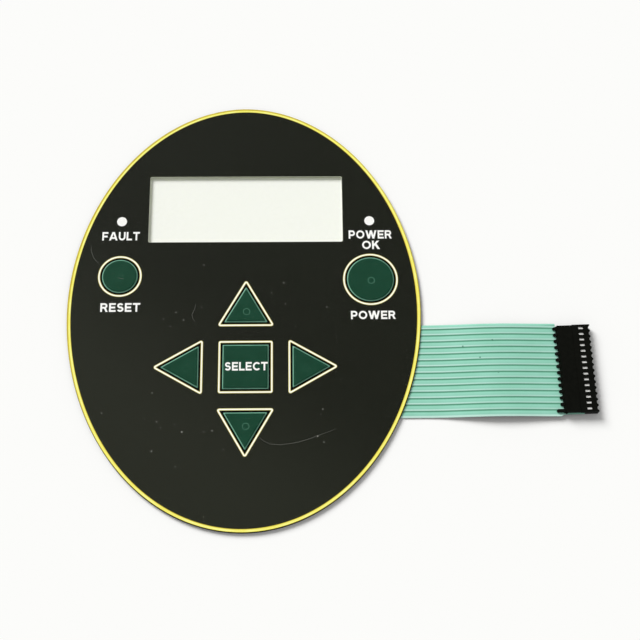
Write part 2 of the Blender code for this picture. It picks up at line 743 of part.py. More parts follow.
def printed_conductors():
    """Conductors and pads as thin solids that bite a little into the film."""
    made = []

    def lay(name, outline, height):
        made.append(plate(name, [outline], CIRCUIT_TOP - PRINT_BITE, height + PRINT_BITE))

    for name, route in key_routes().items():
        lay("track_" + name, ribbon(bent(route), TRACK_WIDTH), TRACK_HEIGHT)
    trunk, branches = common_routes()
    lay("trunk", ribbon(bent(trunk), TRACK_WIDTH), TRACK_HEIGHT)
    for i, branch in enumerate(branches):
        lay("branch_%d" % i, ribbon(bent(branch), TRACK_WIDTH), BRANCH_HEIGHT)
    for key in KEYS:
        centre = key.dome_centre()
        lay("pad_" + key.name, circle(centre, CENTRE_PAD_DIAMETER / 2, PAD_SIDES), PAD_HEIGHT)
        start = key.exit_angle + RING_PAD_OPENING
        end = key.exit_angle + 2 * math.pi - RING_PAD_OPENING
        outer = arc(centre, DOME_DIAMETER / 2 + RING_PAD_WIDTH / 2, start, end, PAD_SIDES)
        inner = arc(centre, DOME_DIAMETER / 2 - RING_PAD_WIDTH / 2, end, start, PAD_SIDES)
        lay("ring_" + key.name, outer + inner, PAD_HEIGHT)
    for name, numbers in LIGHT_CONDUCTORS.items():
        x, y = LIGHTS[name]
        outwards = math.copysign(1.0, x)
        start_angle = LIGHT_LANE_START if x > 0 else math.pi - LIGHT_LANE_START
        for lane, number in enumerate(numbers):
            pad_x = x + (outwards if lane == 0 else -outwards) * LIGHT_LENGTH / 2
            pad = rectangle((pad_x, y), LIGHT_PAD_WIDTH, LIGHT_PAD_LENGTH)
            lay("light_pad_%s_%d" % (name, lane), pad, PAD_HEIGHT)
            route = [(pad_x, y), (pad_x, y + LIGHT_TRACK_STEP[lane])]
            route += edge_lane(lane, start_angle, number) + [tail_landing(number)]
            lay("light_track_%s_%d" % (name, lane), ribbon(route, TRACK_WIDTH), TRACK_HEIGHT)
    for number in SPARE_CONDUCTORS:
        end_x, y = tail_landing(number)
        spare = ribbon([(end_x - SPARE_LENGTH, y), (end_x, y)], TRACK_WIDTH)
        lay("spare_%d" % number, spare, TRACK_HEIGHT)
    return made


# Spacer, domes and lights

def build_spacer(polyester):
    hole_radius = DOME_DIAMETER / 2 + DOME_SIDE_CLEARANCE
    holes = [circle(key.dome_centre(), hole_radius, HOLE_SIDES) for key in KEYS]
    loops = [oval(), window_opening(WINDOW_STEP)] + light_openings() + holes
    spacer = plate("circuit_spacer", loops, LEVEL["spacer"], SPACER_THICKNESS, polyester)
    spot = {key.name: key.dome_centre() for key in KEYS}
    low = LEVEL["spacer"] - VENT_DEPTH
    vents = []
    for start, end in (("up", "select"), ("select", "down"), ("left", "select"), ("select", "right"),
                       ("up", "power"), ("up", "reset")):
        vents.append(
            plate("vent_" + start + "_" + end, [ribbon([spot[start], spot[end]], VENT_WIDTH)],
                  low, 2 * VENT_DEPTH)
        )
    combine(spacer, "DIFFERENCE", vents, join_tools=True)


def dome_spokes(key):
    """Direction and reach of each point of a dome's rim: two on each trimmed side, two on each foot."""
    reach = DOME_DIAMETER / 2
    spokes = []
    for quarter in range(4):
        for degrees, share in ((-24, DOME_TRIM), (24, DOME_TRIM), (34, 1.0), (56, 1.0)):
            angle = key.exit_angle + math.radians(90 * quarter + degrees)
            spokes.append((angle, reach * share))
    return spokes


def build_dome(key, steel):
    """A four-footed snap dome: a shallow cap whose rim is trimmed between its feet."""
    x, y = key.dome_centre()
    reach = DOME_DIAMETER / 2
    dimple = DOME_DIMPLE_DIAMETER / 2
    spokes = dome_spokes(key)

    def under_side(radius):
        crown = (DOME_HEIGHT - DOME_SHEET) * (1 - (radius / reach) ** 2)
        return LEVEL["spacer"] + crown - DOME_DIMPLE_DEPTH * max(0.0, 1 - radius / dimple)

    def ring(bm, lift, radii):
        return [
            bm.verts.new((x + r * math.cos(angle), y + r * math.sin(angle), under_side(r) + lift))
            for (angle, _), r in zip(spokes, radii)
        ]

    bm = bmesh.new()
    rims = []
    for lift in (DOME_SHEET, 0.0):
        middle = bm.verts.new((x, y, under_side(0.0) + lift))
        rings = [
            ring(bm, lift, [dimple] * len(spokes)),
            ring(bm, lift, [(dimple + rim) / 2 for _, rim in spokes]),
            ring(bm, lift, [rim for _, rim in spokes]),
        ]
        for side in range(len(spokes)):
            bm.faces.new((middle, rings[0][side - 1], rings[0][side]))
            for inner, outer in zip(rings, rings[1:]):
                bm.faces.new((inner[side - 1], outer[side - 1], outer[side], inner[side]))
        rims.append(rings[-1])
    upper, lower = rims
    for side in range(len(spokes)):
        bm.faces.new((upper[side - 1], lower[side - 1], lower[side], upper[side]))
    bmesh.ops.recalc_face_normals(bm, faces=bm.faces[:])
    add_object("dome_" + key.name, bm, steel, smooth_angle=40)


def build_light(name, place, finish):
    """A surface-mount light: a flat carrier with a tapered lens on it."""
    carrier_top = LEVEL["spacer"] + LIGHT_BASE_HEIGHT
    length = LIGHT_LENGTH - 2 * LIGHT_LENS_END
    width = LIGHT_WIDTH - 2 * LIGHT_LENS_SIDE
    foot_outline = rectangle(place, length, width, LIGHT_LENS_TAPER)
    crown_outline = rectangle(
        place, length - LIGHT_LENS_TAPER, width - LIGHT_LENS_TAPER, LIGHT_LENS_TAPER
    )
    bm = bmesh.new()
    rim, edges = add_loop(bm, rectangle(place, LIGHT_LENGTH, LIGHT_WIDTH), carrier_top)
    foot, foot_edges = add_loop(bm, foot_outline, carrier_top)
    crown, crown_edges = add_loop(bm, crown_outline, carrier_top + LIGHT_LENS_HEIGHT)
    fill_upwards(bm, edges + foot_edges)
    fill_upwards(bm, crown_edges)
    floor = [bm.verts.new((vert.co.x, vert.co.y, LEVEL["spacer"])) for vert in rim]
    bm.faces.new(floor[::-1])
    for lower, upper in ((foot, crown), (floor, rim)):
        for i in range(len(lower)):
            bm.faces.new((lower[i - 1], lower[i], upper[i], upper[i - 1]))
    bmesh.ops.recalc_face_normals(bm, faces=bm.faces[:])
    add_object("light_" + name, bm, finish)


def build_retainer(clear_film):
    loops = [oval(), window_opening(WINDOW_STEP)] + light_openings()
    plate("dome_retainer", loops, LEVEL["retainer"], RETAINER_THICKNESS, clear_film)


# Face: adhesive, prints and overlay

def build_overlay_adhesive(adhesive):
    key_openings = [key.outline(COLOUR_INSET - ADHESIVE_KEY_CLEARANCE) for key in KEYS]
    loops = [oval(), window_opening(WINDOW_STEP)] + light_openings() + key_openings
    plate("overlay_adhesive", loops, LEVEL["overlay_adhesive"], OVERLAY_ADHESIVE_THICKNESS, adhesive)


def raise_key(bm, key, top):
    """The raised field of one key; returns the edges of its foot, for the sheet round it."""
    foot, foot_edges = add_loop(bm, key.outline(COLOUR_INSET), top)
    crown, crown_edges = add_loop(bm, key.outline(COLOUR_INSET + BEVEL_WIDTH), top + KEY_RISE)
    for i in range(len(foot)):
        bm.faces.new((foot[i - 1], foot[i], crown[i], crown[i - 1]))
    fill_upwards(bm, crown_edges)
    return foot_edges


def build_prints(black, yellow, cream, green, white):
    lap = COLOUR_INSET + PRINT_LAP
    loops = [oval(), window_opening()] + light_openings() + [key.outline(lap) for key in KEYS]
    plate("background_print", loops, LEVEL["background"], PRINT_THICKNESS, black)
    plate("border_print", [oval(), oval(BORDER_WIDTH)], LEVEL["colour"], PRINT_THICKNESS, yellow)
    for name, place in LIGHTS.items():
        spot = circle(place, LIGHT_WINDOW_DIAMETER / 2, HOLE_SIDES)
        plate("light_window_" + name, [spot], LEVEL["colour"], PRINT_THICKNESS, white)
    for key in KEYS:
        ring = [key.outline(0.0), key.outline(OUTLINE_WIDTH)]
        plate("key_outline_" + key.name, ring, LEVEL["colour"], PRINT_THICKNESS, cream)
        bm = bmesh.new()
        raise_key(bm, key, LEVEL["colour"] + PRINT_THICKNESS)
        close_downwards(bm, PRINT_THICKNESS)
        add_object("key_print_" + key.name, bm, green)


def build_overlay(clear_film):
    top = LEVEL["overlay"] + OVERLAY_THICKNESS
    bm = bmesh.new()
    edges = add_loop(bm, oval(), top)[1]
    for key in KEYS:
        edges += raise_key(bm, key, top)
    fill_upwards(bm, edges)
    close_downwards(bm, OVERLAY_THICKNESS)
    add_object("graphic_overlay", bm, clear_film)


# Connector on the tail

def contact_places():
    first = CONNECTOR_Y + CONTACT_PITCH * (CONDUCTORS - 1) / 2
    return [first - CONTACT_PITCH * i for i in range(CONDUCTORS)]


def flex_top():
    """Top of the coated tail where it lies on the connector's deck."""
    return (
        DECK_HEIGHT + FLEX_CLEARANCE + CIRCUIT_THICKNESS + BOND_GAP + COAT_BASE + RIDGE_HEIGHT
    )


def tongue_bottom():
    return flex_top() + BOND_GAP


def cover_bottom():
    return flex_top() + FLEX_CLEARANCE


def scalloped_outline():
    """Plan of the housing: straight back and sides, and a front edge with one scallop per contact."""
    low_y = CONNECTOR_Y - CONNECTOR_WIDTH / 2
    high_y = CONNECTOR_Y + CONNECTOR_WIDTH / 2
    front = CONNECTOR_REAR + CONNECTOR_LENGTH
    chord = CONTACT_PITCH - CUSP_WIDTH
    radius = (chord * chord / 4 + SCALLOP_DEPTH ** 2) / (2 * SCALLOP_DEPTH)
    reach = math.asin(min(1.0, chord / 2 / radius))
    points = [(CONNECTOR_REAR, high_y), (CONNECTOR_REAR, low_y), (front, low_y)]
    for y in reversed(contact_places()):
        centre = (front - SCALLOP_DEPTH + radius, y)
        points += arc(centre, radius, math.pi + reach, math.pi - reach, FINE_STEPS)
    return points + [(front, high_y)]


def build_housing(plastic):
    """The housing: a deck for the flex, and a front block with a slit, cavities and top windows."""
    housing = plate("connector_housing", [scalloped_outline()], 0.0, CONNECTOR_HEIGHT, plastic)
    low_y = CONNECTOR_Y - CONNECTOR_WIDTH / 2 - CUT_MARGIN
    high_y = CONNECTOR_Y + CONNECTOR_WIDTH / 2 + CUT_MARGIN
    block = CONNECTOR_REAR + COVER_LENGTH + COVER_JOINT
    flex_end = CONNECTOR_REAR + FLEX_INSERTION + COVER_JOINT
    front = CONNECTOR_REAR + CONNECTOR_LENGTH
    roof = CONNECTOR_HEIGHT - CAVITY_ROOF
    slit_top = tongue_bottom() + CONTACT_SHEET + CONTACT_CLEARANCE
    over_deck = boxes("over_deck", [(
        (CONNECTOR_REAR - CUT_MARGIN, low_y, DECK_HEIGHT),
        (block, high_y, CONNECTOR_HEIGHT + CUT_MARGIN),
    )])
    combine(housing, "DIFFERENCE", [over_deck])
    slit = boxes("slit", [((block - CUT_MARGIN, low_y, DECK_HEIGHT), (flex_end, high_y, slit_top))])
    combine(housing, "DIFFERENCE", [slit])
    half = CAVITY_WIDTH / 2
    cavities = boxes("cavities", [
        ((flex_end - CONTACT_CLEARANCE, y - half, CAVITY_FLOOR), (front + CUT_MARGIN, y + half, roof))
        for y in contact_places()
    ])
    combine(housing, "DIFFERENCE", [cavities])
    slot_x = CONNECTOR_REAR + SLOT_CENTRE
    slots = boxes("slots", [
        (
            (slot_x - SLOT_LENGTH / 2, y - SLOT_WIDTH / 2, roof - CAVITY_ROOF / 2),
            (slot_x + SLOT_LENGTH / 2, y + SLOT_WIDTH / 2, CONNECTOR_HEIGHT + CUT_MARGIN),
        )
        for y in contact_places()
    ])
    combine(housing, "DIFFERENCE", [slots])
    return housing


def comb_outline():
    """Plan of the comb: one round-ended finger over each groove of the tail, the last one longer."""
    root = CONNECTOR_REAR + COMB_ROOT
    edge = CONNECTOR_REAR + COMB_ROOT / 2
    half = FINGER_WIDTH / 2
    places = groove_places()
    high_y = max(CONNECTOR_Y + CONNECTOR_WIDTH / 2 - COVER_SIDE_STEP * 2, places[0] + FINGER_WIDTH)
    low_y = min(CONNECTOR_Y - CONNECTOR_WIDTH / 2 + COVER_SIDE_STEP * 2, places[-1] - FINGER_WIDTH)
    points = [(root, low_y), (root, high_y), (edge, high_y)]
    for y in places:
        length = END_FINGER_LENGTH if y == places[-1] else FINGER_LENGTH
        tip = (CONNECTOR_REAR - length + half, y)
        points += [(edge, y + half)] + arc(tip, half, math.pi / 2, 3 * math.pi / 2, FINE_STEPS)
        points += [(edge, y - half)]
    return points + [(edge, low_y)]


def build_cover(plastic):
    bottom = cover_bottom()
    front = CONNECTOR_REAR + COVER_LENGTH
    profile = [
        (CONNECTOR_REAR, bottom),
        (front, bottom),
        (front, CONNECTOR_HEIGHT),
        (CONNECTOR_REAR + COVER_BACK_SLOPE, CONNECTOR_HEIGHT),
    ]
    half = CONNECTOR_WIDTH / 2 - COVER_SIDE_STEP
    cover = side_prism("connector_cover", profile, CONNECTOR_Y - half, CONNECTOR_Y + half, plastic)
    comb = plate("comb", [comb_outline()], bottom + FINGER_LIFT, FINGER_HEIGHT)
    combine(cover, "UNION", [comb])
    groove = CONTACT_WIDTH / 2 + CONTACT_CLEARANCE
    start = CONNECTOR_REAR + CONTACT_START - CONTACT_CLEARANCE
    depth = tongue_bottom() + CONTACT_SHEET + CONTACT_CLEARANCE
    grooves = boxes("grooves", [
        ((start, y - groove, bottom - CONTACT_SHEET), (front + CONTACT_CLEARANCE, y + groove, depth))
        for y in contact_places()
    ])
    combine(cover, "DIFFERENCE", [grooves])
    return cover


def contact_profile():
    """Side view of a contact: a tongue on the flex, and a fork whose mouth takes a square post."""
    tongue = tongue_bottom()
    start = CONNECTOR_REAR + CONTACT_START
    root = CONNECTOR_REAR + FLEX_INSERTION + CONTACT_FLEX_GAP
    crotch = root + CONTACT_ROOT
    tip = CONNECTOR_REAR + CONNECTOR_LENGTH - CONTACT_SETBACK
    bump = tip - CONTACT_FLARE
    low = CAVITY_FLOOR + CONTACT_CLEARANCE
    high = CONNECTOR_HEIGHT - CAVITY_ROOF - CONTACT_CLEARANCE
    middle = (low + high) / 2
    sheet = CONTACT_SHEET
    mouth = CONTACT_MOUTH / 2
    lower = [
        (start, tongue), (root, tongue), (root, low), (tip, low), (tip, low + sheet),
        (bump, middle - mouth), (bump - CONTACT_FLARE / 2, middle - mouth - sheet / 2),
        (crotch + sheet, low + sheet), (crotch, low + 2 * sheet),
    ]
    upper = [
        (crotch, high - 2 * sheet), (crotch + sheet, high - sheet),
        (bump - CONTACT_FLARE / 2, middle + mouth + sheet / 2), (bump, middle + mouth),
        (tip, high - sheet), (tip, high), (root, high),
        (root - sheet, tongue + sheet), (start, tongue + sheet),
    ]
    return lower + upper


def build_contacts(tinned):
    half = CONTACT_WIDTH / 2
    return [
        side_prism("contact_%02d" % number, contact_profile(), y - half, y + half, tinned)
        for number, y in enumerate(contact_places(), start=1)
    ]


def turn_on_tail(pieces):
    """Turn the connector's pieces about its middle, by the small angle at which it grips the tail."""
    middle = Vector((CONNECTOR_REAR + CONNECTOR_LENGTH / 2, CONNECTOR_Y, 0.0))
    turn = Matrix.Translation(middle) @ Matrix.Rotation(CONNECTOR_TURN, 4, "Z") @ Matrix.Translation(-middle)
    for piece in pieces:
        piece.data.transform(turn)


def main():
    for old in list(bpy.data.objects):
        bpy.data.objects.remove(old)

    paper = material("coated_liner_paper", "#F2EFE4", 0.7)
    adhesive = material("acrylic_adhesive", "#E9EAE2", 0.45)
    polyester = material("polyester_film", "#DDE6E0", 0.35)
    clear_film = material("clear_polyester", "#F6F8F4", 0.3, alpha=0.25)
    coat = material("green_solder_coat", "#93D0B8", 0.4)
    steel = material("stainless_spring_steel", "#C9CACB", 0.25, metallic=1.0)
    tinned = material("tinned_brass", "#D8D6CE", 0.25, metallic=1.0)
    plastic = material("black_moulded_nylon", "#131510", 0.55)
    black = material("black_screen_ink", "#24271F", 0.5)
    yellow = material("yellow_screen_ink", "#F4E66A", 0.5)
    cream = material("cream_screen_ink", "#FBF7CC", 0.5)
    green = material("green_screen_ink", "#204433", 0.5)
    white = material("white_screen_ink", "#FAFAF4", 0.5)
    lens = material("light_lens", "#F0E9B0", 0.3)

    build_rear_layers(paper, adhesive)
    build_circuit_film(polyester)
    build_tail_coat(coat)
    build_spacer(polyester)
    for key in KEYS:
        build_dome(key, steel)
    for name, place in LIGHTS.items():
        build_light(name, place, lens)
    build_retainer(clear_film)
    build_overlay_adhesive(adhesive)
    build_prints(black, yellow, cream, green, white)
    build_overlay(clear_film)
    turn_on_tail([build_housing(plastic), build_cover(plastic)] + build_contacts(tinned))


main()
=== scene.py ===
"""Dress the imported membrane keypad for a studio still.

The frame holds the laminate, the flex tail and its connector.  This script draws the printed face again
with smooth outlines and rounded embossing, adds the legends and the marks of use, gives the tail its
ridged coat, softens the edges of the moulded connector, and gives every piece a procedural finish.

Lengths are in millimetres until a mesh is made, and the axes are those of the frame: +X towards the
tail, +Y to the top of the legends, +Z out of the printed face.
"""
from __future__ import annotations

import logging
from dataclasses import dataclass, field
from enum import Enum
from typing import Any, Sequence

import bmesh
import bpy
import numpy as np
from mathutils.geometry import delaunay_2d_cdt
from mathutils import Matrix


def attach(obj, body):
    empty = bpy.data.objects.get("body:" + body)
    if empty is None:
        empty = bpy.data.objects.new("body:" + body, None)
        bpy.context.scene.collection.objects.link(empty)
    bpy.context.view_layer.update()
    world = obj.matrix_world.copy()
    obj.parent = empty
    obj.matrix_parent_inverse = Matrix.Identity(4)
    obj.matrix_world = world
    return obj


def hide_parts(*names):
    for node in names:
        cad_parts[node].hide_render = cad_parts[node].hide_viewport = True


Tree = bpy.types.NodeTree
Socket = bpy.types.NodeSocket
LOG = logging.getLogger("keypad")
MM = 0.001
ROOT = "root"

# The oval, the window and the grooves of the tail, which both meshes and materials follow
HALF_WIDTH = 76.2
HALF_LENGTH = 96.8
UPPER_FULLNESS = 1.942
WINDOW_CENTRE = (0.3, 46.8)
WINDOW_SIZE = (85.7, 31.8)
FIRST_GROOVE = -10.2
GROOVE_PITCH = 2.79
TAIL_FOOT = -49.185

# The square key with an arrow on each side of it, and where its domes stand
PAD_CENTRE = (0.7, -26.45)
SQUARE_SIDE = 23.2
ARROW_SIDE = 24.9
PAD_GAP = 6.6
DOME_SHIFT = (0.3, -0.7)

# The middle part of a noise's values, over which a pattern runs from one end to the other
NARROW_RANGE = (0.35, 0.65)
WIDE_RANGE = (0.3, 0.7)


# Colour and shader nodes


def linear(hex_colour: str) -> tuple[float, float, float, float]:
    """Turn an sRGB hex colour into the linear values that the shaders use.

    Formula: below 0.04045 a channel is divided by 12.92, and above it is ((c + 0.055) / 1.055) to the
    power 2.4.

    Args:
        hex_colour: A colour such as "#24271F".

    Returns:
        Red, green, blue and an alpha of one.
    """
    channels = np.array([int(hex_colour[i:i + 2], 16) for i in (1, 3, 5)]) / 255.0
    values = np.where(channels <= 0.04045, channels / 12.92, ((channels + 0.055) / 1.055) ** 2.4)
    return (float(values[0]), float(values[1]), float(values[2]), 1.0)


def add_node(
    tree: Tree,
    kind: str,
    options: dict[str, Any] | None = None,
    inputs: dict[int | str, Any] | None = None,
) -> bpy.types.Node:
    """Add one node with its settings and its links.

    Args:
        tree: The node tree to add to.
        kind: The node's type name.
        options: Properties of the node itself.
        inputs: Input sockets by name or index; a socket as the value is linked, anything else is set.

    Returns:
        The new node.
    """
    node = tree.nodes.new(kind)
    for name, value in (options or {}).items():
        setattr(node, name, value)
    for key, value in (inputs or {}).items():
        if isinstance(value, Socket):
            tree.links.new(value, node.inputs[key])
        else:
            node.inputs[key].default_value = value
    return node


@dataclass(frozen=True)
class Finish:
    """A real material: its colour, gloss and the small irregularities of how it was made.

    Sizes are in millimetres.  A tone is a second colour that drifts in and out over tone_size.  Grain is
    a fine relief of grain_depth over grain_size.
    """

    name: str
    colour: str
    roughness: float
    metallic: float = 0.0
    alpha: float = 1.0
    specular: float = 0.5
    tone: str | None = None
    tone_size: float = 8.0
    grain_size: float = 0.0
    grain_depth: float = 0.0
    rough_spread: float = 0.04
    rough_size: float = 5.0
    dark_rim: bool = False

    def build(self) -> bpy.types.Material:
        """Make the material.

        Returns:
            A material with one Principled shader, patterned in Object coordinates.
        """
        made = bpy.data.materials.new(self.name)
        made.use_nodes = True
        tree = made.node_tree
        shader = tree.nodes["Principled BSDF"]
        shader.inputs["Metallic"].default_value = self.metallic
        shader.inputs["Alpha"].default_value = self.alpha
        if self.metallic < 0.5:
            shader.inputs["Specular IOR Level"].default_value = self.specular
        place = add_node(tree, "ShaderNodeTexCoord").outputs["Object"]
        tree.links.new(self.colour_socket(tree, place), shader.inputs["Base Color"])
        tree.links.new(self.roughness_socket(tree, place), shader.inputs["Roughness"])
        if self.grain_depth > 0.0:
            grain = add_node(
                tree, "ShaderNodeTexNoise",
                inputs={"Vector": place, "Scale": 1.0 / (self.grain_size * MM), "Detail": 2.0},
            )
            bump = add_node(
                tree, "ShaderNodeBump",
                inputs={"Height": grain.outputs["Fac"], "Distance": self.grain_depth * MM},
            )
            tree.links.new(bump.outputs["Normal"], shader.inputs["Normal"])
        return made

    def colour_socket(self, tree: Tree, place: Socket) -> Socket:
        """Base colour: the colour, with its tone drifting in by noise, and a dark rim near the oval's
        edge.

        Args:
            tree: The material's node tree.
            place: The Object coordinate socket.

        Returns:
            A colour socket.
        """
        noise = add_node(
            tree, "ShaderNodeTexNoise",
            inputs={"Vector": place, "Scale": 1.0 / (self.tone_size * MM), "Detail": 3.0},
        )
        spread = add_node(
            tree, "ShaderNodeMapRange",
            inputs={
                "Value": noise.outputs["Fac"], "From Min": NARROW_RANGE[0], "From Max": NARROW_RANGE[1],
            },
        )
        drift = add_node(
            tree, "ShaderNodeMix", {"data_type": "RGBA"},
            {0: spread.outputs["Result"], 6: linear(self.colour), 7: linear(self.tone or self.colour)},
        )
        if not self.dark_rim:
            return drift.outputs[2]
        return DarkRim().over(tree, place, drift.outputs[2])

    def roughness_socket(self, tree: Tree, place: Socket) -> Socket:
        """Roughness that wanders by rough_spread either way over patches of rough_size.

        Args:
            tree: The material's node tree.
            place: The Object coordinate socket.

        Returns:
            A value socket.
        """
        noise = add_node(
            tree, "ShaderNodeTexNoise", inputs={"Vector": place, "Scale": 1.0 / (self.rough_size * MM)}
        )
        wander = add_node(
            tree, "ShaderNodeMapRange",
            inputs={
                "Value": noise.outputs["Fac"], "From Min": WIDE_RANGE[0], "From Max": WIDE_RANGE[1],
                "To Min": self.roughness - self.rough_spread,
                "To Max": self.roughness + self.rough_spread,
            },
        )
        return wander.outputs["Result"]


@dataclass(frozen=True)
class DarkRim:
    """The rim of a layer, darkened close to the oval's edge."""

    width: float = 0.35
    # The colour of the darkened rim
    ink: str = "#12110D"

    def over(self, tree: Tree, place: Socket, colour: Socket) -> Socket:
        """Lay the dark colour over a colour close to the oval's edge.

        Formula: X and Y over the half sizes of the oval, each to the outline's power, add up to more
        than one minus twice the rim's share of the half width.

        Args:
            tree: The material's node tree.
            place: The Object coordinate socket.
            colour: The colour of the layer itself.

        Returns:
            A colour socket.
        """
        axes = add_node(tree, "ShaderNodeSeparateXYZ", inputs={0: place})
        upper = add_node(
            tree, "ShaderNodeMath", {"operation": "GREATER_THAN"}, {0: axes.outputs["Y"], 1: 0.0}
        )
        power = add_node(
            tree, "ShaderNodeMath", {"operation": "MULTIPLY_ADD"},
            {0: upper.outputs[0], 1: UPPER_FULLNESS - 2.0, 2: 2.0},
        )
        terms = []
        for axis, half_size in (("X", HALF_WIDTH), ("Y", HALF_LENGTH)):
            size = add_node(tree, "ShaderNodeMath", {"operation": "ABSOLUTE"}, {0: axes.outputs[axis]})
            share = add_node(
                tree, "ShaderNodeMath", {"operation": "DIVIDE"}, {0: size.outputs[0], 1: half_size * MM}
            )
            terms.append(add_node(
                tree, "ShaderNodeMath", {"operation": "POWER"},
                {0: share.outputs[0], 1: power.outputs[0]},
            ).outputs[0])
        reach = add_node(tree, "ShaderNodeMath", {"operation": "ADD"}, {0: terms[0], 1: terms[1]})
        edge = add_node(
            tree, "ShaderNodeMath", {"operation": "GREATER_THAN"},
            {0: reach.outputs[0], 1: 1.0 - 2.0 * self.width / HALF_WIDTH},
        )
        mixed = add_node(
            tree, "ShaderNodeMix", {"data_type": "RGBA"},
            {0: edge.outputs[0], 6: colour, 7: linear(self.ink)},
        )
        return mixed.outputs[2]


@dataclass(frozen=True)
class OverlayFilm(Finish):
    """Clear hard-coated film, whose window has a display-grade coat with a faint mottled warm cast."""

    window_colour: str = "#B9D300"
    window_alpha: float = 0.028
    mottle_size: float = 1.6
    mottle_share: float = 0.2

    def build(self) -> bpy.types.Material:
        """Make the film, with the window's coat laid over it.

        Formula: a place is in the window where its distance from the window's middle is less than half
        the window's size in both X and Y; there a noise moves the alpha by its share either way.

        Returns:
            The material.
        """
        made = super().build()
        tree = made.node_tree
        shader = tree.nodes["Principled BSDF"]
        place = add_node(tree, "ShaderNodeTexCoord").outputs["Object"]
        middle = tuple(value * MM for value in WINDOW_CENTRE) + (0.0,)
        off = add_node(tree, "ShaderNodeVectorMath", {"operation": "SUBTRACT"}, {0: place, 1: middle})
        size = add_node(
            tree, "ShaderNodeVectorMath", {"operation": "ABSOLUTE"}, {0: off.outputs["Vector"]}
        )
        axes = add_node(tree, "ShaderNodeSeparateXYZ", inputs={0: size.outputs["Vector"]})
        within = [
            add_node(
                tree, "ShaderNodeMath", {"operation": "LESS_THAN"},
                {0: axes.outputs[axis], 1: whole / 2.0 * MM},
            ).outputs[0]
            for axis, whole in zip("XY", WINDOW_SIZE)
        ]
        inside = add_node(
            tree, "ShaderNodeMath", {"operation": "MULTIPLY"}, {0: within[0], 1: within[1]}
        )
        noise = add_node(
            tree, "ShaderNodeTexNoise",
            inputs={"Vector": place, "Scale": 1.0 / (self.mottle_size * MM), "Detail": 3.0},
        )
        mottle = add_node(
            tree, "ShaderNodeMapRange",
            inputs={
                "Value": noise.outputs["Fac"], "From Min": WIDE_RANGE[0], "From Max": WIDE_RANGE[1],
                "To Min": (1.0 - self.mottle_share) * self.window_alpha,
                "To Max": (1.0 + self.mottle_share) * self.window_alpha,
            },
        )
        alpha = add_node(
            tree, "ShaderNodeMix", {"data_type": "FLOAT"},
            {0: inside.outputs[0], 2: self.alpha, 3: mottle.outputs["Result"]},
        )
        colour = add_node(
            tree, "ShaderNodeMix", {"data_type": "RGBA"},
            {0: inside.outputs[0], 6: linear(self.colour), 7: linear(self.window_colour)},
        )
        tree.links.new(alpha.outputs[0], shader.inputs["Alpha"])
        tree.links.new(colour.outputs[2], shader.inputs["Base Color"])
        return made


@dataclass(frozen=True)
class InkWithPaintedSheen(Finish):
    """Black ink under a satin coat, with a painted sheen growing slowly towards the face's lower left.
    """

    # Painted sheen: a paler colour that stands in for the satin coat's reflection of the light
    painted_sheen: str = "#25271F"
    sheen_heading: tuple[float, float] = (-0.6, -0.8)
    sheen_start: float = -5.0
    sheen_end: float = 70.0

    def colour_socket(self, tree: Tree, place: Socket) -> Socket:
        """Ink colour with the painted sheen laid over it.

        Formula: the place times the sheen's heading gives the distance along it, and the painted sheen
        grows from none to all of its colour between its start and its end.

        Args:
            tree: The material's node tree.
            place: The Object coordinate socket.

        Returns:
            A colour socket.
        """
        plain = super().colour_socket(tree, place)
        along = add_node(
            tree, "ShaderNodeVectorMath", {"operation": "DOT_PRODUCT"},
            {0: place, 1: (*self.sheen_heading, 0.0)},
        )
        share = add_node(
            tree, "ShaderNodeMapRange", {"interpolation_type": "SMOOTHSTEP"},
            {
                "Value": along.outputs["Value"], "From Min": self.sheen_start * MM,
                "From Max": self.sheen_end * MM,
            },
        )
        mixed = add_node(
            tree, "ShaderNodeMix", {"data_type": "RGBA"},
            {0: share.outputs["Result"], 6: plain, 7: linear(self.painted_sheen)},
        )
        return mixed.outputs[2]


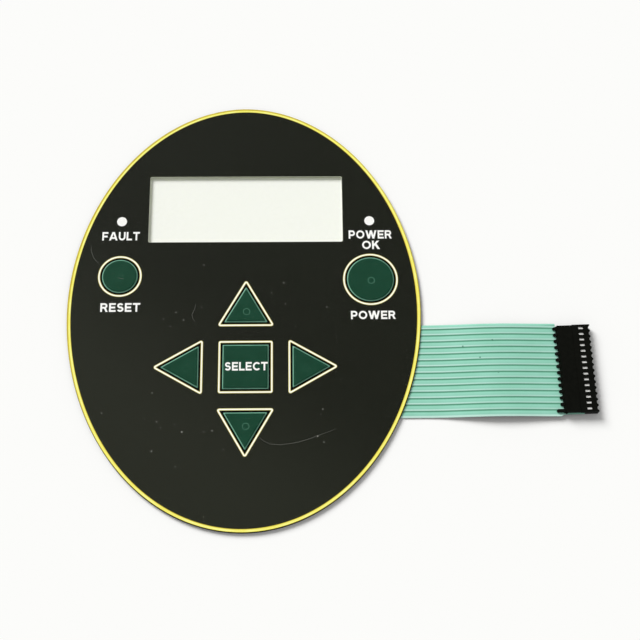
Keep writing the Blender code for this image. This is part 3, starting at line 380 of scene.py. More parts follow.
@dataclass(frozen=True)
class RidgedCoat(Finish):
    """Pale green solder coat, with painted shade at the grooves and painted highlights beside them.

    A phase of nought is on a groove, and it grows to one at the next groove up.  The crest's shares are
    those at the two ends of its fade.
    """

    # Painted shade, laid in each groove and in a band just below it
    groove: str = "#468A6C"
    # Painted highlight a little above each groove, fading along the tail
    crest: str = "#D8FCF1"
    # Painted highlight along the foot edge of the tail
    rim: str = "#D4FAEC"
    groove_core: float = 0.02
    groove_width: float = 0.5
    crest_phase: float = 0.23
    crest_reach: float = 0.17
    crest_fade: tuple[float, float] = (80.0, 112.0)
    crest_shares: tuple[float, float] = (0.9, 0.55)
    # Where the painted shade below each groove starts, and its darkest share
    shade_start: float = 0.72
    shade_share: float = 0.35
    rim_width: float = 0.45
    rim_end: float = 0.72

    def colour_socket(self, tree: Tree, place: Socket) -> Socket:
        """Coat colour: the plain coat, then a painted crest highlight, painted shade below and in each
        groove, and a painted highlight along the rim.

        Formula: the phase is the fraction left of Y less the first groove, over the pitch, counted from
        far enough down to stay positive; the crest fades with the distance from its phase and along
        the tail, the painted shade grows from its start to one, and the groove's line fades with the
        distance from the nearest groove.

        Args:
            tree: The material's node tree.
            place: The Object coordinate socket.

        Returns:
            A colour socket.
        """
        plain = super().colour_socket(tree, place)
        axes = add_node(tree, "ShaderNodeSeparateXYZ", inputs={0: place})
        counted = add_node(
            tree, "ShaderNodeMath", {"operation": "MULTIPLY_ADD"},
            {
                0: axes.outputs["Y"], 1: 1.0 / (GROOVE_PITCH * MM),
                2: 100.0 - FIRST_GROOVE / GROOVE_PITCH,
            },
        )
        phase = add_node(tree, "ShaderNodeMath", {"operation": "FRACT"}, {0: counted.outputs[0]})
        folded = add_node(
            tree, "ShaderNodeMath", {"operation": "PINGPONG"}, {0: counted.outputs[0], 1: 0.5}
        )
        off_crest = add_node(
            tree, "ShaderNodeMath", {"operation": "SUBTRACT"},
            {0: phase.outputs[0], 1: self.crest_phase},
        )
        from_crest = add_node(
            tree, "ShaderNodeMath", {"operation": "ABSOLUTE"}, {0: off_crest.outputs[0]}
        )
        # How strongly the painted crest highlight shows, from the oval's end towards the connector
        crest_highlight_share = add_node(
            tree, "ShaderNodeMapRange",
            inputs={
                "Value": axes.outputs["X"], "From Min": self.crest_fade[0] * MM,
                "From Max": self.crest_fade[1] * MM, "To Min": self.crest_shares[0],
                "To Max": self.crest_shares[1],
            },
        )
        # Painted light, laid in turn: the crest's highlight, the shade below each groove, the groove's
        # shade and the rim's highlight
        lays = (
            (from_crest.outputs[0], 0.0, self.crest_reach, crest_highlight_share.outputs["Result"], 0.0, self.crest),
            (phase.outputs[0], self.shade_start, 1.0, 0.0, self.shade_share, self.groove),
            (folded.outputs[0], self.groove_core, self.groove_width / GROOVE_PITCH, 1.0, 0.0,
             self.groove),
            (axes.outputs["Y"], (TAIL_FOOT + self.rim_width) * MM, (TAIL_FOOT + self.rim_end) * MM,
             1.0, 0.0, self.rim),
        )
        laid = plain
        for value, start, end, share_at_start, share_at_end, colour in lays:
            share = add_node(
                tree, "ShaderNodeMapRange",
                inputs={
                    "Value": value, "From Min": start, "From Max": end, "To Min": share_at_start,
                    "To Max": share_at_end,
                },
            )
            laid = add_node(
                tree, "ShaderNodeMix", {"data_type": "RGBA"},
                {0: share.outputs["Result"], 6: laid, 7: linear(colour)},
            ).outputs[2]
        return laid


@dataclass(frozen=True)
class Finishes:
    """Every finish of the keypad, each named for its real material."""

    # Clear hard-coated polyester, satin: it takes about a hundredth of the light
    film: Finish = OverlayFilm("hardcoated_clear_polyester", "#3C4034", 0.35, alpha=0.01, specular=0.4)
    # Screen-printed black vinyl ink seen through satin film: soft, broken sheen, a faint mottle, and a
    # painted sheen that grows towards the lower left
    black_ink: Finish = InkWithPaintedSheen(
        "black_screen_ink", "#161811", 0.5, specular=0.05, tone="#1A1C15", tone_size=0.9,
        grain_size=0.12, grain_depth=0.004,
    )
    # Yellow ink laid thick in the middle of the ring, deeper towards its edges, ochre where it thins
    yellow_ink: Finish = Finish(
        "yellow_screen_ink", "#FFFF96", 0.5, specular=0.1, tone="#FCF672", tone_size=6.0
    )
    deep_yellow_ink: Finish = Finish(
        "deep_yellow_screen_ink", "#FCF06A", 0.5, specular=0.1, tone="#F7E75C", tone_size=6.0
    )
    ochre_ink: Finish = Finish(
        "yellow_ink_on_cut_edge", "#D6C442", 0.5, specular=0.1, tone="#C8B338", tone_size=4.0
    )
    # Cream ink of the key outlines, over a yellow that shows as a fine fringe
    cream_ink: Finish = Finish(
        "cream_screen_ink", "#FFFFFA", 0.5, specular=0.1, tone="#FFFFF2", tone_size=4.0
    )
    fringe_ink: Finish = Finish("yellow_outline_ink", "#F4E98C", 0.5, specular=0.1, tone="#EDE07C")
    # A second hit of black that rings each key, where the die presses its foot; on the oval's edge it
    # lays painted shade of the side wall
    dense_ink_and_painted_shade: Finish = Finish("double_black_screen_ink", "#060705", 0.5, specular=0.02, tone="#080906")
    # Transparent green ink over white, deep and even; stretched thin on the emboss bevel and paler there
    # with a painted highlight, and paler in a painted highlight ringing each dome's imprint
    green_ink: Finish = Finish(
        "green_screen_ink", "#163F2D", 0.45, specular=0.05, tone="#194331", tone_size=3.0,
        grain_size=0.12, grain_depth=0.003,
    )
    stretched_ink_with_painted_highlight: Finish = Finish(
        "green_ink_stretched_with_painted_bevel_highlight", "#629A82", 0.4, specular=0.15, tone="#74AB92", tone_size=5.0
    )
    # Paler green rings on the domes' imprints: painted highlight, fainter on the keys whose mark shows
    # less
    dome_imprint_highlight_ink: Finish = Finish("green_ink_painted_dome_highlight", "#4A7C66", 0.45, specular=0.1, tone="#3F6E59")
    faint_dome_imprint_highlight_ink: Finish = Finish(
        "green_ink_faint_painted_dome_highlight", "#2A5844", 0.45, specular=0.1, tone="#23503D"
    )
    # White legend and light-window ink
    white_ink: Finish = Finish(
        "white_screen_ink", "#FFFFFC", 0.5, specular=0.1, tone="#FBFBF5", tone_size=2.0
    )
    # Dust and fine scratches in the hard coat scatter light
    dust: Finish = Finish("dust_in_hard_coat", "#C8C9C0", 0.7, specular=0.1, alpha=0.9)
    pit: Finish = Finish("dark_pit_in_coat", "#437A64", 0.5, specular=0.1, tone="#4C836D", tone_size=1.0)
    scratch: Finish = Finish("scratched_hard_coat", "#9A9B93", 0.7, specular=0.1, alpha=0.35)
    # Layers of the laminate, whose edges show round the oval and in the window
    adhesive: Finish = Finish(
        "acrylic_transfer_adhesive", "#D9DAD2", 0.35, specular=0.1, tone="#CFD0C6", tone_size=2.5,
        dark_rim=True,
    )
    spacer: Finish = Finish(
        "dark_spacer_polyester", "#8B8B80", 0.45, specular=0.1, tone="#7F7F75", tone_size=6.0,
        dark_rim=True,
    )
    retainer: Finish = Finish(
        "clear_retainer_polyester", "#E6E8E1", 0.25, specular=0.1, tone="#DDE0D8", tone_size=6.0,
        dark_rim=True,
    )
    polyester: Finish = Finish(
        "heat_stabilised_polyester", "#DCE6DF", 0.3, specular=0.1, tone="#D2DED6", tone_size=7.0,
        dark_rim=True,
    )
    liner: Finish = Finish(
        "silicone_coated_liner_paper", "#F1EEE4", 0.6, tone="#E9E5D8", tone_size=1.2, specular=0.1,
        grain_size=0.25, grain_depth=0.004, dark_rim=True,
    )
    # Green solder coat of the tail, glossy enough to pick out each ridge; painted shade lies at its
    # grooves, and painted highlights beside them and along its foot edge
    coat: Finish = RidgedCoat(
        "green_solder_coat", "#93D0BA", 0.3, tone="#8CCBB3", tone_size=12.0, specular=0.3,
        grain_size=0.6, grain_depth=0.004,
    )
    # Glass-filled nylon: near black, dull, with a fine sparked mould texture
    nylon: Finish = Finish(
        "moulded_black_nylon", "#050603", 0.5, tone="#090A06", tone_size=1.6, specular=0.04,
        grain_size=0.18, grain_depth=0.012, rough_spread=0.08,
    )
    # Rolled strip, tin plated, with faint plating streaks; near white and hardly metallic, so a painted
    # glint keeps it bright in its slot
    tin_with_painted_glint: Finish = Finish(
        "tin_plated_brass", "#FFFFFC", 0.32, metallic=0.1, specular=0.5, tone="#F8F8F2", tone_size=0.8,
        grain_size=0.1, grain_depth=0.002,
    )
    steel: Finish = Finish(
        "rolled_stainless_steel", "#C9CACB", 0.24, metallic=1.0, tone="#BFC0C2", tone_size=2.0,
        grain_size=0.15, grain_depth=0.002,
    )
    lens: Finish = Finish("moulded_epoxy_lens", "#F0E9B0", 0.2, tone="#EADF9C", tone_size=0.8)
    # The paper sweep under the keypad
    sweep: Finish = Finish("white_paper_sweep", "#FCFCFA", 0.9, specular=0.0, tone="#FCFCFA")


class Library:
    """Builds each finish once and hands the same material to every piece that wears it."""

    def __init__(self) -> None:
        """Start with nothing built."""
        self.made: dict[str, bpy.types.Material] = {}

    def get(self, finish: Finish) -> bpy.types.Material:
        """Return the material of a finish, making it the first time."""
        if finish.name not in self.made:
            self.made[finish.name] = finish.build()
        return self.made[finish.name]


# Surfaces


@dataclass
class Surface:
    """Gathers grids and flat fills, in millimetres, and turns them into one mesh object."""

    points: list[np.ndarray] = field(default_factory=list)
    faces: list[list[int]] = field(default_factory=list)
    slots: list[int] = field(default_factory=list)
    count: int = 0

    def add(self, points: np.ndarray, faces: np.ndarray, slot: int = 0) -> None:
        """Add a patch of points with its faces.

        Args:
            points: An array of places, three columns wide.
            faces: An array of corner numbers within the patch, one row for each face.
            slot: The material slot of the faces.
        """
        self.points.append(points.reshape(-1, 3))
        self.faces += (faces + self.count).tolist()
        self.slots += [slot] * len(faces)
        self.count += len(self.points[-1])

    def grid(
        self, points: np.ndarray, wrap_rows: bool = False, flip: bool = False,
        slots: Sequence[int] | None = None,
    ) -> None:
        """Add a grid of quads, whose last column is joined to its first.

        Formula: the face at row i and column j joins the points (i, j), (i, j + 1), (i + 1, j + 1) and
        (i + 1, j), each counted round from the last to the first.

        Args:
            points: An array of rows by columns by three.
            wrap_rows: Join the last row to the first as well.
            flip: Turn the faces over.
            slots: One material slot for each row of faces.
        """
        rows, columns = points.shape[:2]
        i = np.arange(rows if wrap_rows else rows - 1)[:, None]
        j = np.arange(columns)[None, :]
        below, above, after = i * columns, (i + 1) % rows * columns, (j + 1) % columns
        corners = [below + j, below + after, above + after, above + j]
        quads = np.stack(np.broadcast_arrays(*corners), axis=-1)
        quads = quads[..., ::-1] if flip else quads
        given = slots if slots is not None else [0] * len(quads)
        start = self.count
        self.points.append(points.reshape(-1, 3))
        self.count += rows * columns
        for row, slot in zip(quads, given):
            self.faces += (row + start).tolist()
            self.slots += [slot] * len(row)

    def fill(self, loops: Sequence[np.ndarray], height: float, up: bool = True, slot: int = 0) -> None:
        """Fill a flat outline, less its holes, with triangles.

        Args:
            loops: The outline first, then the holes, each an array of X and Y.
            height: The height of the fill.
            up: Face upwards, or else down.
            slot: The material slot of the faces.
        """
        ends = np.cumsum([len(loop) for loop in loops])
        rings = [list(range(end - len(loop), end)) for end, loop in zip(ends, loops)]
        found = delaunay_2d_cdt(np.concatenate(loops).tolist(), [], rings, 1, 1e-6)
        flat = np.array([tuple(place) for place in found[0]])
        kept = np.array([face for face, origin in zip(found[2], found[5]) if list(origin) == [0]])
        one, two, three = flat[kept[:, 0]], flat[kept[:, 1]], flat[kept[:, 2]]
        turn = np.cross(two - one, three - one)
        kept = np.where((turn > 0)[:, None] == up, kept, kept[:, ::-1])
        points = np.column_stack([flat, np.full(len(flat), height)])
        self.add(points, kept, slot)

    def print_union(self, outlines: Sequence[np.ndarray], low: float, high: float) -> None:
        """Add the union of overlapping outlines as a thin closed plate.

        Formula: the triangles that lie in any outline are laid at both heights; an edge that only one of
        them has is on the rim, and is joined to its twin below by two triangles.

        Args:
            outlines: Closed outlines, each an array of X and Y.
            low: Height of the underside.
            high: Height of the top.
        """
        ends = np.cumsum([len(outline) for outline in outlines])
        rings = [list(range(end - len(outline), end)) for end, outline in zip(ends, outlines)]
        found = delaunay_2d_cdt(np.concatenate(outlines).tolist(), [], rings, 1, 1e-5)
        flat = np.array([tuple(place) for place in found[0]])
        top = np.array([face for face, origin in zip(found[2], found[5]) if len(origin) > 0])
        one, two, three = flat[top[:, 0]], flat[top[:, 1]], flat[top[:, 2]]
        top = np.where((np.cross(two - one, three - one) > 0)[:, None], top, top[:, ::-1])
        edges = np.concatenate([top[:, [0, 1]], top[:, [1, 2]], top[:, [2, 0]]])
        _, where, uses = np.unique(np.sort(edges, axis=1), axis=0, return_index=True, return_counts=True)
        start, end = edges[where[uses == 1]].T
        below = len(flat)
        walls = np.concatenate([
            np.column_stack([start, start + below, end + below]),
            np.column_stack([start, end + below, end]),
        ])
        points = np.concatenate([raise_to(flat, high), raise_to(flat, low)])
        self.add(points, np.concatenate([top, top[:, ::-1] + below, walls]))

    def make(
        self, name: str, finishes: Sequence[bpy.types.Material], replaces: Sequence[str] = (),
        smooth_angle: float | None = None,
    ) -> bpy.types.Object:
        """Weld the patches into one object that rides on the keypad.

        Args:
            name: The object's name.
            finishes: The materials, by slot.
            replaces: The nodes of the frame that the object stands for.
            smooth_angle: Shade smooth, with edges sharper than this many degrees kept.

        Returns:
            The new object.
        """
        mesh = bpy.data.meshes.new(name)
        mesh.from_pydata((np.concatenate(self.points) * MM).tolist(), [], self.faces)
        for finish in finishes:
            mesh.materials.append(finish)
        mesh.polygons.foreach_set("material_index", np.array(self.slots, dtype=np.int32))
        shell = bmesh.new()
        shell.from_mesh(mesh)
        bmesh.ops.remove_doubles(shell, verts=shell.verts[:], dist=1e-7)
        bmesh.ops.dissolve_degenerate(shell, edges=shell.edges[:], dist=1e-8)
        shell.to_mesh(mesh)
        shell.free()
        return place_on_keypad(name, mesh, replaces, smooth_angle)


def place_on_keypad(
    name: str, mesh: bpy.types.Mesh, replaces: Sequence[str] = (), smooth_angle: float | None = None
) -> bpy.types.Object:
    """Link a finished mesh into the scene and let it ride on the keypad.

    Args:
        name: The object's name.
        mesh: Its mesh, in metres and in the frame's axes.
        replaces: The nodes of the frame that it stands for.
        smooth_angle: Shade smooth, with edges sharper than this many degrees kept.

    Returns:
        The new object.
    """
    if smooth_angle is not None:
        mesh.shade_smooth()
        mesh.set_sharp_from_angle(angle=float(np.radians(smooth_angle)))
    piece = bpy.data.objects.new(name, mesh)
    bpy.context.collection.objects.link(piece)
    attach(piece, ROOT)
    if replaces:
        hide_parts(*replaces)
    LOG.info("%s: %d faces", name, len(mesh.polygons))
    return piece


def raise_to(loop: np.ndarray, height: float | np.ndarray) -> np.ndarray:
    """Give a flat loop a height, or one height for each of its points."""
    return np.column_stack([loop, np.broadcast_to(height, len(loop))])


def circle(centre: Sequence[float], radius: float, sides: int = 72) -> np.ndarray:
    """Points of a circle: the centre plus the radius times the cosine and sine of even angles."""
    angles = np.arange(sides) * 2.0 * np.pi / sides
    return np.array(centre) + radius * np.column_stack([np.cos(angles), np.sin(angles)])


def rounded_polygon(
    centre: Sequence[float], apothem: float, sides: int, heading: float, radius: float,
    arc_steps: int = 6, side_steps: int = 14,
) -> np.ndarray:
    """A regular polygon with rounded corners and points spread along its sides.

    Formula: each corner's arc has its centre at (apothem - radius) / cos(pi / sides) from the middle,
    on the corner's own bearing, and turns through 2 pi / sides; straight runs join the arcs.

    Args:
        centre: The middle of the polygon.
        apothem: Distance from the middle to a side.
        sides: Number of sides.
        heading: Bearing of the first corner, in radians.
        radius: Corner radius.
        arc_steps: Steps of each corner's arc.
        side_steps: Steps of each straight side.

    Returns:
        The points of the outline, counter-clockwise.
    """
    radius = min(radius, apothem)
    bearings = heading + np.arange(sides) * 2.0 * np.pi / sides
    middles = (apothem - radius) / np.cos(np.pi / sides)
    middles = middles * np.column_stack([np.cos(bearings), np.sin(bearings)])
    turns = bearings[:, None] + np.linspace(-np.pi / sides, np.pi / sides, arc_steps + 1)[None, :]
    arcs = middles[:, None, :] + radius * np.stack([np.cos(turns), np.sin(turns)], axis=-1)
    share = (np.arange(1, side_steps) / side_steps)[None, :, None]
    runs = arcs[:, -1:, :] * (1.0 - share) + np.roll(arcs, -1, axis=0)[:, :1, :] * share
    return np.array(centre) + np.concatenate([arcs, runs], axis=1).reshape(-1, 2)


def box_outline(centre: Sequence[float], width: float, height: float, radius: float) -> np.ndarray:
    """A rectangle with rounded corners: a quarter circle about each inset corner.

    Args:
        centre: Its middle.
        width: Its size along X.
        height: Its size along Y.
        radius: Corner radius.

    Returns:
        The points of the outline, counter-clockwise.
    """
    signs = np.array([[1, 1], [-1, 1], [-1, -1], [1, -1]])
    middles = np.array(centre) + signs * np.array([width / 2 - radius, height / 2 - radius])
    turns = (np.arange(4) * np.pi / 2)[:, None] + np.linspace(0, np.pi / 2, 7)[None, :]
    arcs = middles[:, None, :] + radius * np.stack([np.cos(turns), np.sin(turns)], axis=-1)
    return arcs.reshape(-1, 2)


# Layout of the laminate


@dataclass(frozen=True)
class Layout:
    """Sizes of the face, as the frame has them."""

    window_radius: float = 0.8
    border_width: float = 1.6
    light_diameter: float = 4.35
    light_opening: float = 3.7
    outline_width: float = 0.88
    colour_inset: float = 1.82
    bevel_width: float = 0.7
    key_rise: float = 0.45
    background_low: float = 1.276
    background_high: float = 1.306
    colour_low: float = 1.316
    colour_high: float = 1.346
    overlay_low: float = 1.356
    overlay_high: float = 1.606
    liner_high: float = 0.10

    def oval(self, inset: float = 0.0, sides: int = 288) -> np.ndarray:
        """The oval of the face, drawn in by inset.

        Formula: half sizes times the cosine and sine of even angles, each kept in sign and raised to two
        over the outline's power, which is two in the lower half and a little less in the upper half.

        Args:
            inset: Distance in from the edge.
            sides: Number of points.

        Returns:
            The points of the outline, counter-clockwise.
        """
        angles = np.arange(sides) * 2.0 * np.pi / sides
        unit = np.column_stack([np.cos(angles), np.sin(angles)])
        power = 2.0 / np.where(unit[:, 1:] > 0.0, UPPER_FULLNESS, 2.0)
        reach = np.array([HALF_WIDTH - inset, HALF_LENGTH - inset])
        return reach * np.sign(unit) * np.abs(unit) ** power

    def edge_x(self, y: np.ndarray) -> np.ndarray:
        """Where the right-hand edge of the oval lies at each Y: its formula solved for X."""
        power = np.where(y > 0.0, UPPER_FULLNESS, 2.0)
        return HALF_WIDTH * (1.0 - np.abs(y / HALF_LENGTH) ** power) ** (1.0 / power)

    def window(self, step: float = 0.0) -> np.ndarray:
        """The window's outline, drawn in by a step."""
        width, height = WINDOW_SIZE
        return box_outline(WINDOW_CENTRE, width - 2 * step, height - 2 * step, self.window_radius)


class Shape(Enum):
    """Outline of a key, as its number of corners."""

    ROUND = 0
    ARROW = 3
    SQUARE = 4


@dataclass(frozen=True)
class Key:
    """One embossed key: its outline and the dome under it.

    Its witness says how plainly the dome's mark shows, from nought to one.
    """

    name: str
    shape: Shape
    centre: tuple[float, float]
    size: float
    heading: float = 0.0
    witness: float = 0.0
    corner_radius: float = 0.9
    least_radius: float = 0.25
    ring_spacing: float = 0.7

    @property
    def apothem(self) -> float:
        """Distance from the key's middle to its side: half its size, or less on an arrow."""
        return self.size / (2.0 * np.sqrt(3.0)) if self.shape is Shape.ARROW else self.size / 2.0

    @property
    def dome(self) -> tuple[float, float]:
        """Middle of the dome, which stands a little off the key's middle."""
        return (self.centre[0] + DOME_SHIFT[0], self.centre[1] + DOME_SHIFT[1])

    def loop(self, inset: float) -> np.ndarray:
        """The key's outline drawn in by inset, with the same number of points at every inset."""
        if self.shape is Shape.ROUND:
            return circle(self.centre, self.size / 2.0 - inset, 96)
        radius = max(self.corner_radius - inset, self.least_radius)
        return rounded_polygon(self.centre, self.apothem - inset, self.shape.value, self.heading, radius)

    def cap(self, layout: Layout, height: float) -> np.ndarray:
        """The raised field, from its foot to its middle.

        Formula: over the bevel the inset grows evenly while the height follows 3t^2 - 2t^3 of the rise;
        inside it the rings shrink evenly to the middle at the full rise.

        Args:
            layout: Sizes of the face.
            height: Height of the foot.

        Returns:
            A grid of rings by points by three.
        """
        share = np.linspace(0.0, 1.0, 8)
        bevel = layout.colour_inset + layout.bevel_width * share
        rise = layout.key_rise * share ** 2 * (3.0 - 2.0 * share)
        count = 1 + int((self.apothem - bevel[-1]) / self.ring_spacing)
        inner = np.linspace(bevel[-1], self.apothem - 0.02, count + 1)[1:]
        insets = np.concatenate([bevel, inner])
        heights = height + np.concatenate([rise, np.full(count, layout.key_rise)])
        return np.stack([raise_to(self.loop(float(i)), float(h)) for i, h in zip(insets, heights)])


def arrow(name: str, heading: float, witness: float) -> Key:
    """An arrow key, set off from the square key on its own bearing.

    Formula: its middle lies half the square, the gap and the arrow's apothem away from the square's.

    Args:
        name: The key's name.
        heading: The way it points, in radians.
        witness: How plainly its dome shows.

    Returns:
        The key.
    """
    reach = SQUARE_SIDE / 2.0 + PAD_GAP + ARROW_SIDE / (2.0 * np.sqrt(3.0))
    centre = (
        PAD_CENTRE[0] + reach * float(np.cos(heading)), PAD_CENTRE[1] + reach * float(np.sin(heading))
    )
    return Key(name, Shape.ARROW, centre, ARROW_SIDE, heading, witness)


KEYS = (
    Key("power", Shape.ROUND, (54.808, 13.1), 24.0, witness=1.0),
    Key("reset", Shape.ROUND, (-54.208, 15.0), 19.0, witness=0.3),
    Key("select", Shape.SQUARE, PAD_CENTRE, SQUARE_SIDE, np.pi / 4),
    arrow("up", np.pi / 2, 0.7),
    arrow("down", -np.pi / 2, 0.9),
    arrow("left", np.pi, 0.3),
    arrow("right", 0.0, 0.3),
)
LIGHTS = {"fault": (-54.358, 40.9), "power": (54.958, 40.9)}


@dataclass
class Face:
    """The printed and embossed face, from the clear overlay down to the black print."""

    layout: Layout
    library: Library
    finishes: Finishes
    print_drop: float = 0.034
    print_thickness: float = 0.03
    # Bevel strips that take the stretched ink, paler with a painted highlight
    bevel_strips: int = 4
    # Painted shade: dense black along the oval's edge, standing in for the shadowed side wall, widest
    # towards the foot
    shaded_wall_width: float = 0.28
    shaded_wall_heading: tuple[float, float] = (0.2, -0.98)
    shift_heading: tuple[float, float] = (-0.7, 0.7)
    ring_strips: tuple[tuple[float, float], ...] = ((0.3, 0.38), (0.48, 0.36), (1.15, 0.34), (1.4, 0.12))
    fringe: float = 0.18
    dense_end: float = 0.08
    witness_radius: float = 1.4
    witness_widths: tuple[float, float] = (0.14, 0.16)
    witness_lift: float = 0.004
    witness_thickness: float = 0.01

    def build(self) -> None:
        """Build every piece of the face."""
        self.overlay()
        self.background()
        self.border()
        for key in KEYS:
            self.key_outline(key)
            self.key_field(key)
            self.dome_witness(key)
        for name, place in LIGHTS.items():
            self.light_window(name, place)

    def overlay(self) -> None:
        """The clear film: flat, with a rounded embossed cap at each key and a wall round the oval."""
        look = self.layout
        surface = Surface()
        for height, up in ((look.overlay_high, True), (look.overlay_low, False)):
            surface.fill([look.oval()] + [key.loop(look.colour_inset) for key in KEYS], height, up)
            for key in KEYS:
                rings = key.cap(look, height)
                surface.grid(rings, flip=not up)
                surface.fill([rings[-1][:, :2]], float(rings[-1][0, 2]), up)
        edge = look.oval()
        surface.grid(np.stack([raise_to(edge, look.overlay_low), raise_to(edge, look.overlay_high)]))
        surface.make("clear_overlay", [self.library.get(self.finishes.film)], ["graphic_overlay"], 50.0)

    def background(self) -> None:
        """The black print: the oval less the window, the light windows and the key fields."""
        look = self.layout
        holes = [look.window()]
        holes += [circle(place, look.light_opening / 2) for place in LIGHTS.values()]
        holes += [key.loop(look.colour_inset) for key in KEYS]
        self.sheet("black_background", [look.oval()] + holes, look.background_low, look.background_high,
                   self.finishes.black_ink, ["background_print"])

    def sheet(
        self, name: str, loops: Sequence[np.ndarray], low: float, high: float, finish: Finish,
        replaces: Sequence[str] = (),
    ) -> bpy.types.Object:
        """A flat closed sheet with holes.

        Args:
            name: The piece's name.
            loops: Its outline first, then its holes.
            low: Height of its underside.
            high: Height of its top.
            finish: What it is made of.
            replaces: The nodes that it stands for.

        Returns:
            The new object.
        """
        surface = Surface()
        surface.fill(loops, high, True)
        surface.fill(loops, low, False)
        for number, loop in enumerate(loops):
            surface.grid(np.stack([raise_to(loop, low), raise_to(loop, high)]), flip=number > 0)
        return surface.make(name, [self.library.get(finish)], replaces)

    def band(
        self, name: str, loops: Sequence[np.ndarray], strips: Sequence[int], low: float, high: float,
        finishes: Sequence[Finish], replaces: Sequence[str],
    ) -> None:
        """A closed printed band between two outlines, with one ink for each strip across it.

        Formula: the loops at the top, from the outermost in, then the innermost and outermost loops at
        the bottom, make the rows of a grid that closes on itself both ways.

        Args:
            name: The piece's name.
            loops: Outlines from the outermost to the innermost.
            strips: The material slot between each pair of outlines.
            low: Height of its underside.
            high: Height of its top.
            finishes: The inks, by slot.
            replaces: The nodes that it stands for.
        """
        rows = [raise_to(loop, high) for loop in loops]
        rows += [raise_to(loops[-1], low), raise_to(loops[0], low)]
        surface = Surface()
        surface.grid(np.stack(rows), wrap_rows=True, slots=list(strips) + [strips[-1]] * 2 + [strips[0]])
        surface.make(name, [self.library.get(finish) for finish in finishes], replaces)

    def border(self) -> None:
        """The yellow ring round the oval, brightest along its middle and duller at both edges.

        Formula: how far a place on the oval faces a heading is its direction times the heading, a little
        amplified and kept under one; outside the ring a strip of dense black, painted shade of the side
        wall, is widest where that faces the foot of the keypad, and each strip of ink starts at its
        inset, plus its shift where the ring faces the upper left.
        """
        look = self.layout
        edge = look.oval()
        outward = edge / np.linalg.norm(edge, axis=1)[:, None]
        # The strip of painted shade, standing in for the side wall, widens where the oval faces the foot
        foot = np.clip(1.5 * outward @ np.array(self.shaded_wall_heading), 0.05, 1.0)[:, None]
        upper_left = np.clip(1.4 * outward @ np.array(self.shift_heading), 0.0, 1.0)[:, None]
        loops = [edge, edge - self.shaded_wall_width * foot * outward]
        loops += [look.oval(inset) - shift * upper_left * outward for inset, shift in self.ring_strips]
        loops.append(look.oval(look.border_width))
        inks = [
            self.finishes.yellow_ink, self.finishes.deep_yellow_ink, self.finishes.ochre_ink,
            self.finishes.dense_ink_and_painted_shade,
        ]
        self.band("yellow_border", loops, [3, 2, 1, 0, 1, 2], look.colour_low, look.colour_high, inks,
                  ["border_print"])

    def key_outline(self, key: Key) -> None:
        """The cream line round a key, with a fine yellow fringe on both sides and dense black inside."""
        look = self.layout
        insets = (
            0.0, self.fringe, look.outline_width - self.fringe, look.outline_width,
            look.colour_inset - self.dense_end,
        )
        inks = [self.finishes.cream_ink, self.finishes.fringe_ink, self.finishes.dense_ink_and_painted_shade]
        self.band("cream_outline_" + key.name, [key.loop(inset) for inset in insets], [1, 0, 1, 2],
                  look.colour_low, look.colour_high, inks, ["key_outline_" + key.name])

    def key_field(self, key: Key) -> None:
        """A key's green field, raised with the embossing; its bevel is stretched ink with a painted
        highlight.
        """
        look = self.layout
        surface = Surface()
        top = look.colour_high - self.print_drop
        low = top - self.print_thickness
        for height, up in ((top, True), (low, False)):
            rings = key.cap(look, height)
            # The bevel's strips take the stretched ink with its painted highlight
            slots = [1] * self.bevel_strips + [0] * (len(rings) - 1 - self.bevel_strips)
            surface.grid(rings, flip=not up, slots=slots)
            surface.fill([rings[-1][:, :2]], float(rings[-1][0, 2]), up)
        foot = key.loop(look.colour_inset)
        surface.grid(np.stack([raise_to(foot, low), raise_to(foot, top)]))
        inks = [self.library.get(ink) for ink in (self.finishes.green_ink, self.finishes.stretched_ink_with_painted_highlight)]
        surface.make("green_field_" + key.name, inks, ["key_print_" + key.name], 50.0)

    def dome_witness(self, key: Key) -> None:
        """The faint ring of the dome's dimple under the film: a painted highlight, wider where it shows
        more.
        """
        if key.witness <= 0.0:
            return
        level = self.layout.colour_high + self.layout.key_rise - self.print_drop + self.witness_lift
        half = (self.witness_widths[0] + self.witness_widths[1] * key.witness) / 2
        loops = [circle(key.dome, self.witness_radius + side * half, 48) for side in (1, -1)]
        # A paler ring of painted highlight where the imprint shows plainly, a fainter one elsewhere
        ink = self.finishes.dome_imprint_highlight_ink if key.witness > 0.5 else self.finishes.faint_dome_imprint_highlight_ink
        self.sheet("dome_witness_" + key.name, loops, level, level + self.witness_thickness, ink)

    def light_window(self, name: str, place: tuple[float, float]) -> None:
        """The white spot over a light."""
        look = self.layout
        self.sheet("light_spot_" + name, [circle(place, look.light_diameter / 2)], look.colour_low,
                   look.colour_high, self.finishes.white_ink, ["light_window_" + name])


@dataclass
class Liner:
    """The paper liner at the rear, cut with the same smooth oval as the face."""

    layout: Layout
    face: Face
    window_step: float = 0.15

    def build(self) -> None:
        """Build the liner."""
        look = self.layout
        loops = [look.oval(), look.window(self.window_step)]
        self.face.sheet("liner_sheet", loops, 0.0, look.liner_high, self.face.finishes.liner,
                        ["release_liner"])


